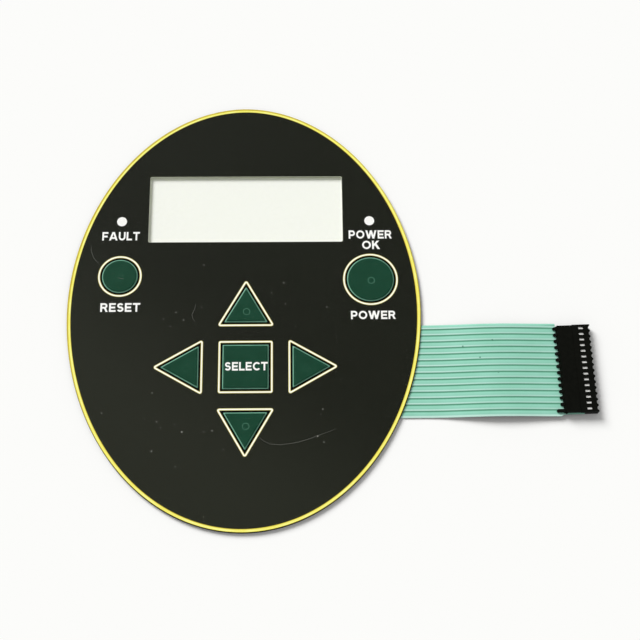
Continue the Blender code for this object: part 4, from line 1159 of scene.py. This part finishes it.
@dataclass(frozen=True)
class Capitals:
    """Plain bold capitals of one stroke width, drawn by formula; the unit is the capital height.

    Each letter is a list of overlapping closed outlines and a width.
    """

    stroke: float = 0.208
    slant: float = 0.238
    gap: float = 0.13
    round_steps: int = 14

    def stem(self, middle: float, low: float = 0.0, high: float = 1.0) -> np.ndarray:
        """An upright stroke about a middle X."""
        return self.leg(middle, middle, low, high, self.stroke)

    def bar(self, left: float, right: float, middle: float) -> np.ndarray:
        """A level stroke about a middle Y."""
        low, high = middle - self.stroke / 2, middle + self.stroke / 2
        return np.array([(left, low), (right, low), (right, high), (left, high)])

    def leg(
        self, foot: float, head: float, low: float = 0.0, high: float = 1.0, width: float = 0.0
    ) -> np.ndarray:
        """A slanting stroke with level ends.

        Args:
            foot: Middle X of its low end.
            head: Middle X of its high end.
            low: Y of its low end.
            high: Y of its high end.
            width: Its level width, or nought for that of a slanting stroke.

        Returns:
            Its four corners, counter-clockwise.
        """
        half = (width or self.slant) / 2
        return np.array([
            (foot - half, low), (foot + half, low), (head + half, high), (head - half, high)
        ])

    def bow(
        self, centre: tuple[float, float], radii: tuple[float, float], start: float, end: float
    ) -> np.ndarray:
        """A stroke along part of an ellipse.

        Formula: the middle line is the centre plus the radii times the cosine and sine of the bearing,
        and the outline is that ellipse grown and then shrunk by half a stroke.

        Args:
            centre: Middle of the ellipse.
            radii: Its radii to the middle of the stroke.
            start: Bearing of one end in degrees.
            end: Bearing of the other end, larger than the start.

        Returns:
            The outline, counter-clockwise.
        """
        turn = np.radians(np.linspace(start, end, self.round_steps))
        ray = np.column_stack([np.cos(turn), np.sin(turn)])
        outer = np.array(centre) + (np.array(radii) + self.stroke / 2) * ray
        inner = np.array(centre) + (np.array(radii) - self.stroke / 2) * ray
        return np.concatenate([outer, inner[::-1]])

    def letter(self, name: str) -> tuple[list[np.ndarray], float]:
        """The outlines of one capital.

        Args:
            name: The capital.

        Returns:
            Its outlines and its width.
        """
        h, k = self.stroke / 2, self.slant / 2
        spine, top = self.stem(h), 1.0 - h
        drawn = {
            "F": ([spine, self.bar(0.0, 0.72, top), self.bar(0.0, 0.65, 0.47)], 0.72),
            "E": ([spine, self.bar(0.0, 0.74, h), self.bar(0.0, 0.68, 0.5),
                   self.bar(0.0, 0.74, top)], 0.74),
            "L": ([spine, self.bar(0.0, 0.68, h)], 0.68),
            "T": ([self.stem(0.41), self.bar(0.0, 0.82, top)], 0.82),
            "A": ([self.leg(k, 0.5), self.leg(1.06 - k, 0.56), self.bar(0.22, 0.84, 0.29)], 1.06),
            "U": ([self.stem(h, 0.42), self.stem(0.84 - h, 0.42),
                   self.bow((0.42, 0.42), (0.42 - h, 0.42 - h), 180.0, 360.0)], 0.84),
            "P": ([spine, self.bar(0.0, 0.44, top), self.bar(0.0, 0.44, 0.42),
                   self.bow((0.44, (top + 0.42) / 2), (0.22, (top - 0.42) / 2), -90.0, 90.0)], 0.78),
            "R": ([spine, self.bar(0.0, 0.46, top), self.bar(0.0, 0.46, 0.48),
                   self.bow((0.46, (top + 0.48) / 2), (0.22, (top - 0.48) / 2), -90.0, 90.0),
                   self.leg(0.84 - k, 0.5, 0.0, 0.46)], 0.84),
            "S": ([self.bow((0.37, 0.7), (0.24, 0.3 - h), 20.0, 270.0),
                   self.bow((0.37, 0.31), (0.26, 0.31 - h), -160.0, 90.0)], 0.75),
            "O": ([self.bow((0.5, 0.5), (0.5 - h, 0.5 - h), 0.0, 180.0),
                   self.bow((0.5, 0.5), (0.5 - h, 0.5 - h), 180.0, 360.0)], 1.0),
            "C": ([self.bow((0.5, 0.5), (0.5 - h, 0.5 - h), 42.0, 318.0)], 0.88),
            "W": ([self.leg(0.4, k), self.leg(0.4, 0.68), self.leg(0.96, 0.68),
                   self.leg(0.96, 1.36 - k)], 1.36),
            "K": ([spine, np.array([(0.2, 0.3), (0.84, 1.0), (0.54, 1.0), (0.2, 0.6)]),
                   np.array([(0.6, 0.0), (0.9, 0.0), (0.48, 0.7), (0.3, 0.5)])], 0.9),
        }
        return drawn[name]

    def word(self, text: str) -> list[list[np.ndarray]]:
        """Set a word letter after letter.

        Formula: each letter is moved right by the widths and gaps before it.

        Args:
            text: The word.

        Returns:
            The outlines of each letter.
        """
        letters = [self.letter(name) for name in text]
        starts = np.cumsum([0.0] + [width + self.gap for _, width in letters[:-1]])
        return [[part + (start, 0.0) for part in parts] for (parts, _), start in zip(letters, starts)]


@dataclass(frozen=True)
class Word:
    """A function word printed in white: its text, middle, width and capital height."""

    text: str
    centre: tuple[float, float]
    width: float
    height: float
    raised: bool = False


@dataclass
class Legends:
    """The words that name the lights and keys, in plain bold sans capitals."""

    layout: Layout
    library: Library
    finishes: Finishes
    capitals: Capitals = Capitals()
    words: tuple[Word, ...] = (
        Word("FAULT", (-54.5, 33.95), 16.4, 4.0),
        Word("RESET", (-53.45, 0.62), 17.1, 4.0),
        Word("POWER", (55.21, 34.30), 19.0, 3.95),
        Word("OK", (55.47, 29.31), 7.87, 4.0),
        Word("POWER", (55.60, -3.42), 19.3, 3.8),
        Word("SELECT", (1.1, -26.35), 18.1, 3.75, raised=True),
    )
    film_gap: float = 0.006

    def build(self) -> None:
        """Print every word."""
        for number, word in enumerate(self.words):
            self.print_word("legend_%d_%s" % (number, word.text.lower()), word)

    def print_word(self, name: str, word: Word) -> None:
        """Lay a word on its level of print as thin closed letters.

        Formula: the letters' places are stretched in X and Y so that their box has the word's width and
        capital height, and moved to its middle.

        Args:
            name: The piece's name.
            word: What it says and where it goes.
        """
        look = self.layout
        rise = look.key_rise if word.raised else 0.0
        base = look.colour_low + rise
        letters = self.capitals.word(word.text)
        every = np.concatenate([part for parts in letters for part in parts])
        low, high = every.min(axis=0), every.max(axis=0)
        size = np.array([word.width, word.height])
        start = np.array(word.centre) - size / 2
        surface = Surface()
        for parts in letters:
            placed = [start + (part - low) / (high - low) * size for part in parts]
            surface.print_union(placed, base, base + look.colour_high - look.colour_low - self.film_gap)
        surface.make(name, [self.library.get(self.finishes.white_ink)])


@dataclass
class FlexTail:
    """The flex circuit and the ridged green coat on its tail."""

    layout: Layout
    library: Library
    finishes: Finishes
    film_top: float = 0.43
    flat_end: float = 78.0
    notch_start: float = 133.6
    connector_rear: float = 134.2
    connector_middle: tuple[float, float] = (141.45, -28.55)
    connector_turn: float = np.radians(1.6)
    insertion: float = 8.6
    entry_height: float = 1.71
    arch: float = 1.5
    stations: int = 9
    conductors: int = 15
    top_y: float = -8.115
    notched_top_y: float = -9.3
    notched_bottom_y: float = -48.3
    coat_gap: float = 0.01
    web: float = 0.04
    ridge: float = 0.27
    ridge_power: float = 2.6
    ridge_at_connector: float = 0.10
    ridge_fade: float = 9.0
    edge_gap: float = 0.15

    def build(self) -> None:
        """Build the circuit film and its coat."""
        film = self.library.get(self.finishes.polyester)
        refined_copy("flex_circuit_film", "circuit_film", film, 0.0, 25.0)
        self.coat()

    def height(self, x: np.ndarray) -> np.ndarray:
        """Top of the film along the tail.

        Formula: with s the share of the way from the flat root to the connector, the height climbs by
        3s^2 - 2s^3 from the root to the connector's deck, plus the arch times sine squared of pi s.
        """
        share = np.clip((x - self.flat_end) / (self.connector_rear - self.flat_end), 0.0, 1.0)
        climb = share * share * (3.0 - 2.0 * share)
        lift = self.arch * np.sin(np.pi * share) ** 2
        return self.film_top + (self.entry_height - self.film_top) * climb + lift

    def crest(self, x: np.ndarray) -> np.ndarray:
        """Height of the ridges' tops: the film's top plus the gap, the web and a ridge."""
        return self.height(x) + self.coat_gap + self.web + self.ridge

    def cross_section(self) -> tuple[np.ndarray, np.ndarray]:
        """Places across the tail and the ridge's rise at each.

        Formula: between two grooves, at u from nought to one, the rise is one less |2u - 1| to the
        ridge's power, so a ridge is a rounded arch that falls steeply into the groove.

        Returns:
            The places in Y, from the top of the tail down, and the rise from nought to one.
        """
        grooves = FIRST_GROOVE - GROOVE_PITCH * np.arange(self.conductors - 1)
        bounds = np.concatenate([[self.top_y], grooves, [TAIL_FOOT]])
        u = np.array([0.0, 0.04, 0.1, 0.18, 0.28, 0.39, 0.5, 0.61, 0.72, 0.82, 0.9, 0.96])
        places = (bounds[:-1, None] * (1.0 - u) + bounds[1:, None] * u).ravel()
        rise = np.tile(1.0 - np.abs(2.0 * u - 1.0) ** self.ridge_power, self.conductors)
        return np.append(places, bounds[-1]), np.append(rise, 0.0)

    def turned(self, x: np.ndarray, y: np.ndarray) -> tuple[np.ndarray, np.ndarray]:
        """Carry the places inside the connector round with it; places before its rear edge stay.

        Formula: outside the first and last grooves Y is scaled so that the film's edges come to the
        notched edges, and then X and Y turn about the connector's middle.

        Args:
            x: Places along the tail.
            y: Places across it.

        Returns:
            The places carried round, X and then Y.
        """
        last_groove = FIRST_GROOVE - GROOVE_PITCH * (self.conductors - 2)
        marks = [TAIL_FOOT, last_groove, FIRST_GROOVE, self.top_y]
        carried = [self.notched_bottom_y, last_groove, FIRST_GROOVE, self.notched_top_y]
        notched = np.interp(y, marks, carried)
        along, across = x - self.connector_middle[0], notched - self.connector_middle[1]
        cosine, sine = np.cos(self.connector_turn), np.sin(self.connector_turn)
        inside = x > self.connector_rear - 0.01
        new_x = np.where(inside, self.connector_middle[0] + along * cosine - across * sine, x)
        new_y = np.where(inside, self.connector_middle[1] + along * sine + across * cosine, y)
        return new_x, new_y

    def coat(self) -> None:
        """The coat: its ridged top, its flat underside and its rims, as one closed grid.

        Formula: each row is the cross-section at one station, top side out and underside back; the first
        row follows the edge of the oval, and the rows close round the tail.  The ridges sink towards the
        connector, where its cover presses on them.
        """
        y, rise = self.cross_section()
        share = np.arange(self.stations) / self.stations
        run = self.flat_end + (self.connector_rear - self.flat_end) * share
        ends_at = self.connector_rear + self.insertion
        stations = np.concatenate([run, [self.notch_start, self.connector_rear, ends_at]])
        edge = self.layout.edge_x(y) + self.edge_gap
        along = np.concatenate([edge[None, :], np.repeat(stations[:, None], len(y), axis=1)])
        at_root = np.arange(len(along))[:, None] == 0
        low = np.where(at_root, self.film_top, self.height(along)) + self.coat_gap
        x, places = self.turned(along, np.broadcast_to(y, along.shape))
        share = np.clip((self.connector_rear - along) / self.ridge_fade, 0.0, 1.0)
        ridge = self.ridge_at_connector + (self.ridge - self.ridge_at_connector) * share
        top = np.stack([x, places, low + self.web + ridge * rise], axis=-1)
        under = np.stack([x, places, low], axis=-1)[:, ::-1]
        rows = np.concatenate([top, under], axis=1)
        surface = Surface()
        surface.grid(rows, flip=True)
        across = len(y)
        ends = np.arange(across - 1)
        cap = np.stack([ends, ends + 1, 2 * across - 2 - ends, 2 * across - 1 - ends], axis=-1)
        surface.add(rows[0], cap[:, ::-1])
        surface.add(rows[-1], cap)
        surface.make("ridged_coat", [self.library.get(self.finishes.coat)], ["tail_cover_coat"], 60.0)


@dataclass(frozen=True)
class Scratch:
    """A hairline scratch: its path in X and Y, and whether it lies on a raised key."""

    path: tuple[tuple[float, float], ...]
    raised: bool = False


@dataclass
class Wear:
    """Dust specks and hairline scratches in the hard coat, where the object shows them."""

    layout: Layout
    library: Library
    finishes: Finishes
    tail: FlexTail
    specks: tuple[tuple[float, float, float], ...] = (
        (-29.4, -1.9, 0.37), (-34.6, -4.9, 0.34), (-26.0, -5.4, 0.34), (-31.7, -8.1, 0.27),
        (-18.4, 0.3, 0.34), (-38.4, -37.8, 0.34), (-47.2, -32.1, 0.27), (17.0, 11.5, 0.44),
        (11.8, 6.9, 0.34), (-17.8, 20.0, 0.34),
        (-59.1, -46.4, 0.34), (-36.1, -50.2, 0.37), (-28.7, -51.4, 0.27), (-34.4, -52.8, 0.24),
        (-25.5, -54.7, 0.51), (-16.5, -54.7, 0.27), (-13.0, -54.3, 0.37), (-37.8, -62.8, 0.48),
        (-27.9, -69.4, 0.27), (-8.2, -62.3, 0.27), (-15.8, -90.2, 0.31), (35.6, 0.2, 0.37),
        (17.7, 1.8, 0.27), (33.3, -45.3, 0.37), (32.4, -47.5, 0.27), (31.0, -56.9, 0.44),
        (33.6, -59.5, 0.34), (22.1, -8.5, 0.24), (39.7, -15.1, 0.27), (40.9, -32.4, 0.27),
    )
    tail_pits: tuple[tuple[float, float, float], ...] = (
        (93.5, -18.0, 0.5), (100.5, -23.2, 0.65), (106.1, -15.4, 0.45), (107.8, -30.1, 0.35),
    )
    scratches: tuple[Scratch, ...] = (
        Scratch(((6.0, -56.6), (7.1, -57.7), (9.1, -59.2), (11.6, -60.2), (15.5, -60.4), (19.4, -60.0),
                 (22.8, -59.4), (27.7, -58.0), (30.4, -56.9), (35.1, -55.2), (39.1, -53.7))),
        Scratch(((-67.4, 29.7), (-67.0, 26.4), (-65.8, 23.3), (-63.5, 20.7))),
        Scratch(((-21.0, 2.1), (-21.4, -0.4), (-22.5, -3.1), (-22.0, -4.7), (-21.1, -6.1))),
        Scratch(((-41.6, -48.5), (-40.8, -49.5))),
        Scratch(((-55.1, 14.2), (-53.6, 13.7), (-52.3, 13.5)), raised=True),
    )
    scratch_width: float = 0.13
    scratch_steps: int = 40
    speck_height: float = 0.03
    burr_height: float = 0.02
    lift: float = 0.002

    def build(self) -> None:
        """Lay the specks and the scratches on the film, and the dark pits on the tail."""
        specks, pits = np.array(self.specks), np.array(self.tail_pits)
        on_film = np.full(len(specks), self.layout.overlay_high + self.lift)
        self.lay_specks("dust_specks", specks, on_film, self.finishes.dust)
        self.lay_specks("coat_pits", pits, self.tail.crest(pits[:, 0]), self.finishes.pit)
        for number, scratch in enumerate(self.scratches):
            self.lay_scratch("hairline_scratch_%d" % number, scratch)

    def lay_specks(self, name: str, marks: np.ndarray, levels: np.ndarray, finish: Finish) -> None:
        """Lay small marks in one mesh.

        Formula: each is a low cone, whose seven rim points lie on a circle about its place and whose tip
        stands a speck's height over its level.

        Args:
            name: The piece's name.
            marks: X, Y and diameter of each mark.
            levels: Height of each mark.
            finish: What it is made of.
        """
        ring = circle((0.0, 0.0), 1.0, 7)
        rims = marks[:, None, :2] + marks[:, None, 2:3] / 2 * ring[None, :, :]
        heights = np.broadcast_to(levels[:, None, None], rims.shape[:2] + (1,))
        rims = np.concatenate([rims, heights], axis=2)
        tips = np.column_stack([marks[:, :2], levels + self.speck_height])[:, None, :]
        points = np.concatenate([rims, tips], axis=1)
        start = (np.arange(len(marks)) * 8)[:, None, None]
        turn = np.arange(7)
        sides = np.stack([turn, (turn + 1) % 7, np.full(7, 7)], axis=-1)[None] + start
        base = np.stack([np.zeros(5, int), turn[2:], turn[1:-1]], axis=-1)[None] + start
        faces = np.concatenate([sides, base], axis=1).reshape(-1, 3)
        surface = Surface()
        surface.add(points, faces)
        surface.make(name, [self.library.get(finish)])

    def lay_scratch(self, name: str, scratch: Scratch) -> None:
        """A hairline burr that follows a path.

        Formula: the path is resampled evenly along its length; at each place a low triangle stands
        across it, whose width follows the square root of the sine from end to end.

        Args:
            name: The piece's name.
            scratch: Its path and level.
        """
        path = np.array(scratch.path)
        lengths = np.concatenate([[0.0], np.cumsum(np.linalg.norm(np.diff(path, axis=0), axis=1))])
        along = np.linspace(0.0, lengths[-1], self.scratch_steps)
        line = np.column_stack([np.interp(along, lengths, path[:, axis]) for axis in (0, 1)])
        ahead = np.gradient(line, axis=0)
        ahead /= np.linalg.norm(ahead, axis=1)[:, None]
        across = np.column_stack([-ahead[:, 1], ahead[:, 0]])
        bearing = np.linspace(0.08, np.pi - 0.08, self.scratch_steps)
        width = self.scratch_width / 2 * np.sqrt(np.sin(bearing))[:, None]
        level = self.layout.overlay_high + self.lift + (self.layout.key_rise if scratch.raised else 0.0)
        rows = np.stack([
            raise_to(line + across * width, level), raise_to(line - across * width, level),
            raise_to(line, level + self.burr_height),
        ], axis=1)
        surface = Surface()
        surface.grid(rows, flip=True)
        surface.add(rows[0], np.array([[0, 1, 2]]))
        surface.add(rows[-1], np.array([[2, 1, 0]]))
        surface.make(name, [self.library.get(self.finishes.scratch)])


def refined_copy(
    name: str, node: str, finish: bpy.types.Material, bevel: float, smooth_angle: float
) -> bpy.types.Object:
    """A copy of a node's mesh with its corners joined, and soft edges if a bevel is given.

    Args:
        name: The new piece's name.
        node: The node of the frame that it stands for.
        finish: What it is made of.
        bevel: Width of the bevel on its sharp edges, in millimetres, or nought.
        smooth_angle: Edges sharper than this many degrees stay sharp.

    Returns:
        The new object.
    """
    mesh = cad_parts[node].data.copy()
    mesh.name = name
    shell = bmesh.new()
    shell.from_mesh(mesh)
    bmesh.ops.remove_doubles(shell, verts=shell.verts[:], dist=1e-7)
    bmesh.ops.dissolve_limit(
        shell, angle_limit=float(np.radians(0.5)), verts=shell.verts[:], edges=shell.edges[:]
    )
    shell.to_mesh(mesh)
    shell.free()
    mesh.materials.clear()
    mesh.materials.append(finish)
    piece = place_on_keypad(name, mesh, [node], smooth_angle)
    if bevel > 0.0:
        softened = piece.modifiers.new("soft_edges", "BEVEL")
        softened.width = bevel * MM
        softened.segments = 2
        softened.limit_method = "ANGLE"
        softened.angle_limit = float(np.radians(35.0))
    return piece


@dataclass
class Connector:
    """The moulded housing and cover on the tail's end."""

    library: Library
    finishes: Finishes
    edge: float = 0.06

    def build(self) -> None:
        """Soften the moulded edges."""
        nylon = self.library.get(self.finishes.nylon)
        refined_copy("moulded_housing", "connector_housing", nylon, self.edge, 35.0)
        refined_copy("moulded_cover", "connector_cover", nylon, self.edge, 35.0)


@dataclass
class Dressing:
    """Finishes for the nodes of the frame that keep their own shape."""

    library: Library
    finishes: Finishes

    def build(self) -> None:
        """Give each kept node its finish, by the start of its name."""
        wear = {
            "rear_adhesive": self.finishes.adhesive,
            "overlay_adhesive": self.finishes.adhesive,
            "circuit_spacer": self.finishes.spacer,
            "dome_retainer": self.finishes.retainer,
            "dome_": self.finishes.steel,
            "light_fault": self.finishes.lens,
            "light_power": self.finishes.lens,
            "contact_": self.finishes.tin_with_painted_glint,
        }
        for name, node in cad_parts.items():
            for start, finish in wear.items():
                if name.startswith(start):
                    for slot in node.material_slots:
                        slot.material = self.library.get(finish)
                    break


@dataclass
class Studio:
    """A white sweep, an even sky and one broad lamp from the upper left.

    The sky and the lamp together light the sweep to one, so a colour renders about as it is written.
    """

    library: Library
    finishes: Finishes
    sky: float = 0.38
    lamp_bearing: float = 130.0
    lamp_height: float = 34.0
    lamp_spread: float = 30.0

    def build(self) -> None:
        """Build the floor, the sky and the lamp."""
        self.floor()
        self.world()
        self.key_lamp()

    def floor(self) -> None:
        """A flat sheet far larger than the view, in metres."""
        reach = 4.0
        corners = [(-reach, -reach, 0), (reach, -reach, 0), (reach, reach, 0), (-reach, reach, 0)]
        mesh = bpy.data.meshes.new("sweep")
        mesh.from_pydata(corners, [], [(0, 1, 2, 3)])
        mesh.materials.append(self.library.get(self.finishes.sweep))
        sheet = bpy.data.objects.new("sweep", mesh)
        bpy.context.collection.objects.link(sheet)

    def world(self) -> None:
        """An even sky, shown as white to the camera and in gloss and clear plastic."""
        world = bpy.data.worlds.new("even_sky")
        bpy.context.scene.world = world
        world.use_nodes = True
        tree = world.node_tree
        backdrop = tree.nodes["Background"]
        backdrop.inputs["Color"].default_value = (1.0, 1.0, 1.0, 1.0)
        path = add_node(tree, "ShaderNodeLightPath")
        clear = add_node(
            tree, "ShaderNodeMath", {"operation": "MAXIMUM"},
            {0: path.outputs["Is Camera Ray"], 1: path.outputs["Is Transmission Ray"]},
        )
        seen = add_node(
            tree, "ShaderNodeMath", {"operation": "MAXIMUM"},
            {0: clear.outputs[0], 1: path.outputs["Is Glossy Ray"]},
        )
        strength = add_node(
            tree, "ShaderNodeMapRange",
            inputs={"Value": seen.outputs[0], "To Min": self.sky, "To Max": 1.0},
        )
        tree.links.new(strength.outputs["Result"], backdrop.inputs["Strength"])

    def key_lamp(self) -> None:
        """A sun with a wide disc, so that its shadows are soft.

        Formula: its strength is pi times what the sky leaves over, divided by the sine of its height.
        """
        lamp = bpy.data.lights.new("soft_key", "SUN")
        lamp.energy = float(np.pi * (1.0 - self.sky) / np.sin(np.radians(self.lamp_height)))
        lamp.angle = float(np.radians(self.lamp_spread))
        holder = bpy.data.objects.new("soft_key", lamp)
        tilt = float(np.radians(90.0 - self.lamp_height))
        holder.rotation_euler = (tilt, 0.0, float(np.radians(self.lamp_bearing + 90.0)))
        bpy.context.collection.objects.link(holder)


@dataclass
class Viewpoint:
    """The camera, fitted to the photograph from the oval, the window, the keys and the tail."""

    location: tuple[float, float, float] = (22.30, -175.94, 488.96)
    rotation: tuple[float, float, float] = (0.3362, -0.0169, -0.0119)
    focal_pixels: float = 1200.0
    image_pixels: float = 640.0
    sensor: float = 36.0

    def build(self) -> None:
        """Make the camera: the lens is the focal length in pixels times the sensor over the image."""
        camera = bpy.data.cameras.new("photo_view")
        camera.sensor_width = self.sensor
        camera.lens = self.focal_pixels * self.sensor / self.image_pixels
        camera.clip_start = 0.01
        camera.clip_end = 20.0
        holder = bpy.data.objects.new("photo_view", camera)
        holder.location = tuple(value * MM for value in self.location)
        holder.rotation_euler = self.rotation
        bpy.context.collection.objects.link(holder)
        bpy.context.scene.camera = holder


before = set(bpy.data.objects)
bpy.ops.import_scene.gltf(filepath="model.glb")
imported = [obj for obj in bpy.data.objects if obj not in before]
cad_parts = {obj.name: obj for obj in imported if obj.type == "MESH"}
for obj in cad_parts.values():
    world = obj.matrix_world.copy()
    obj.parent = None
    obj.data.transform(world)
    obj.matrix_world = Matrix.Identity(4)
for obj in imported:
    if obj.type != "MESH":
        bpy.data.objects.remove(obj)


def main() -> None:
    """Build the scene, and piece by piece."""
    logging.basicConfig(level=logging.INFO, format="%(message)s")
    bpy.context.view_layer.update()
    bpy.context.scene.view_settings.view_transform = "Standard"
    layout, library, finishes = Layout(), Library(), Finishes()
    Viewpoint().build()
    Studio(library, finishes).build()
    face = Face(layout, library, finishes)
    face.build()
    Liner(layout, face).build()
    Legends(layout, library, finishes).build()
    tail = FlexTail(layout, library, finishes)
    tail.build()
    Wear(layout, library, finishes, tail).build()
    Connector(library, finishes).build()
    Dressing(library, finishes).build()


if __name__ == "__main__":
    main()
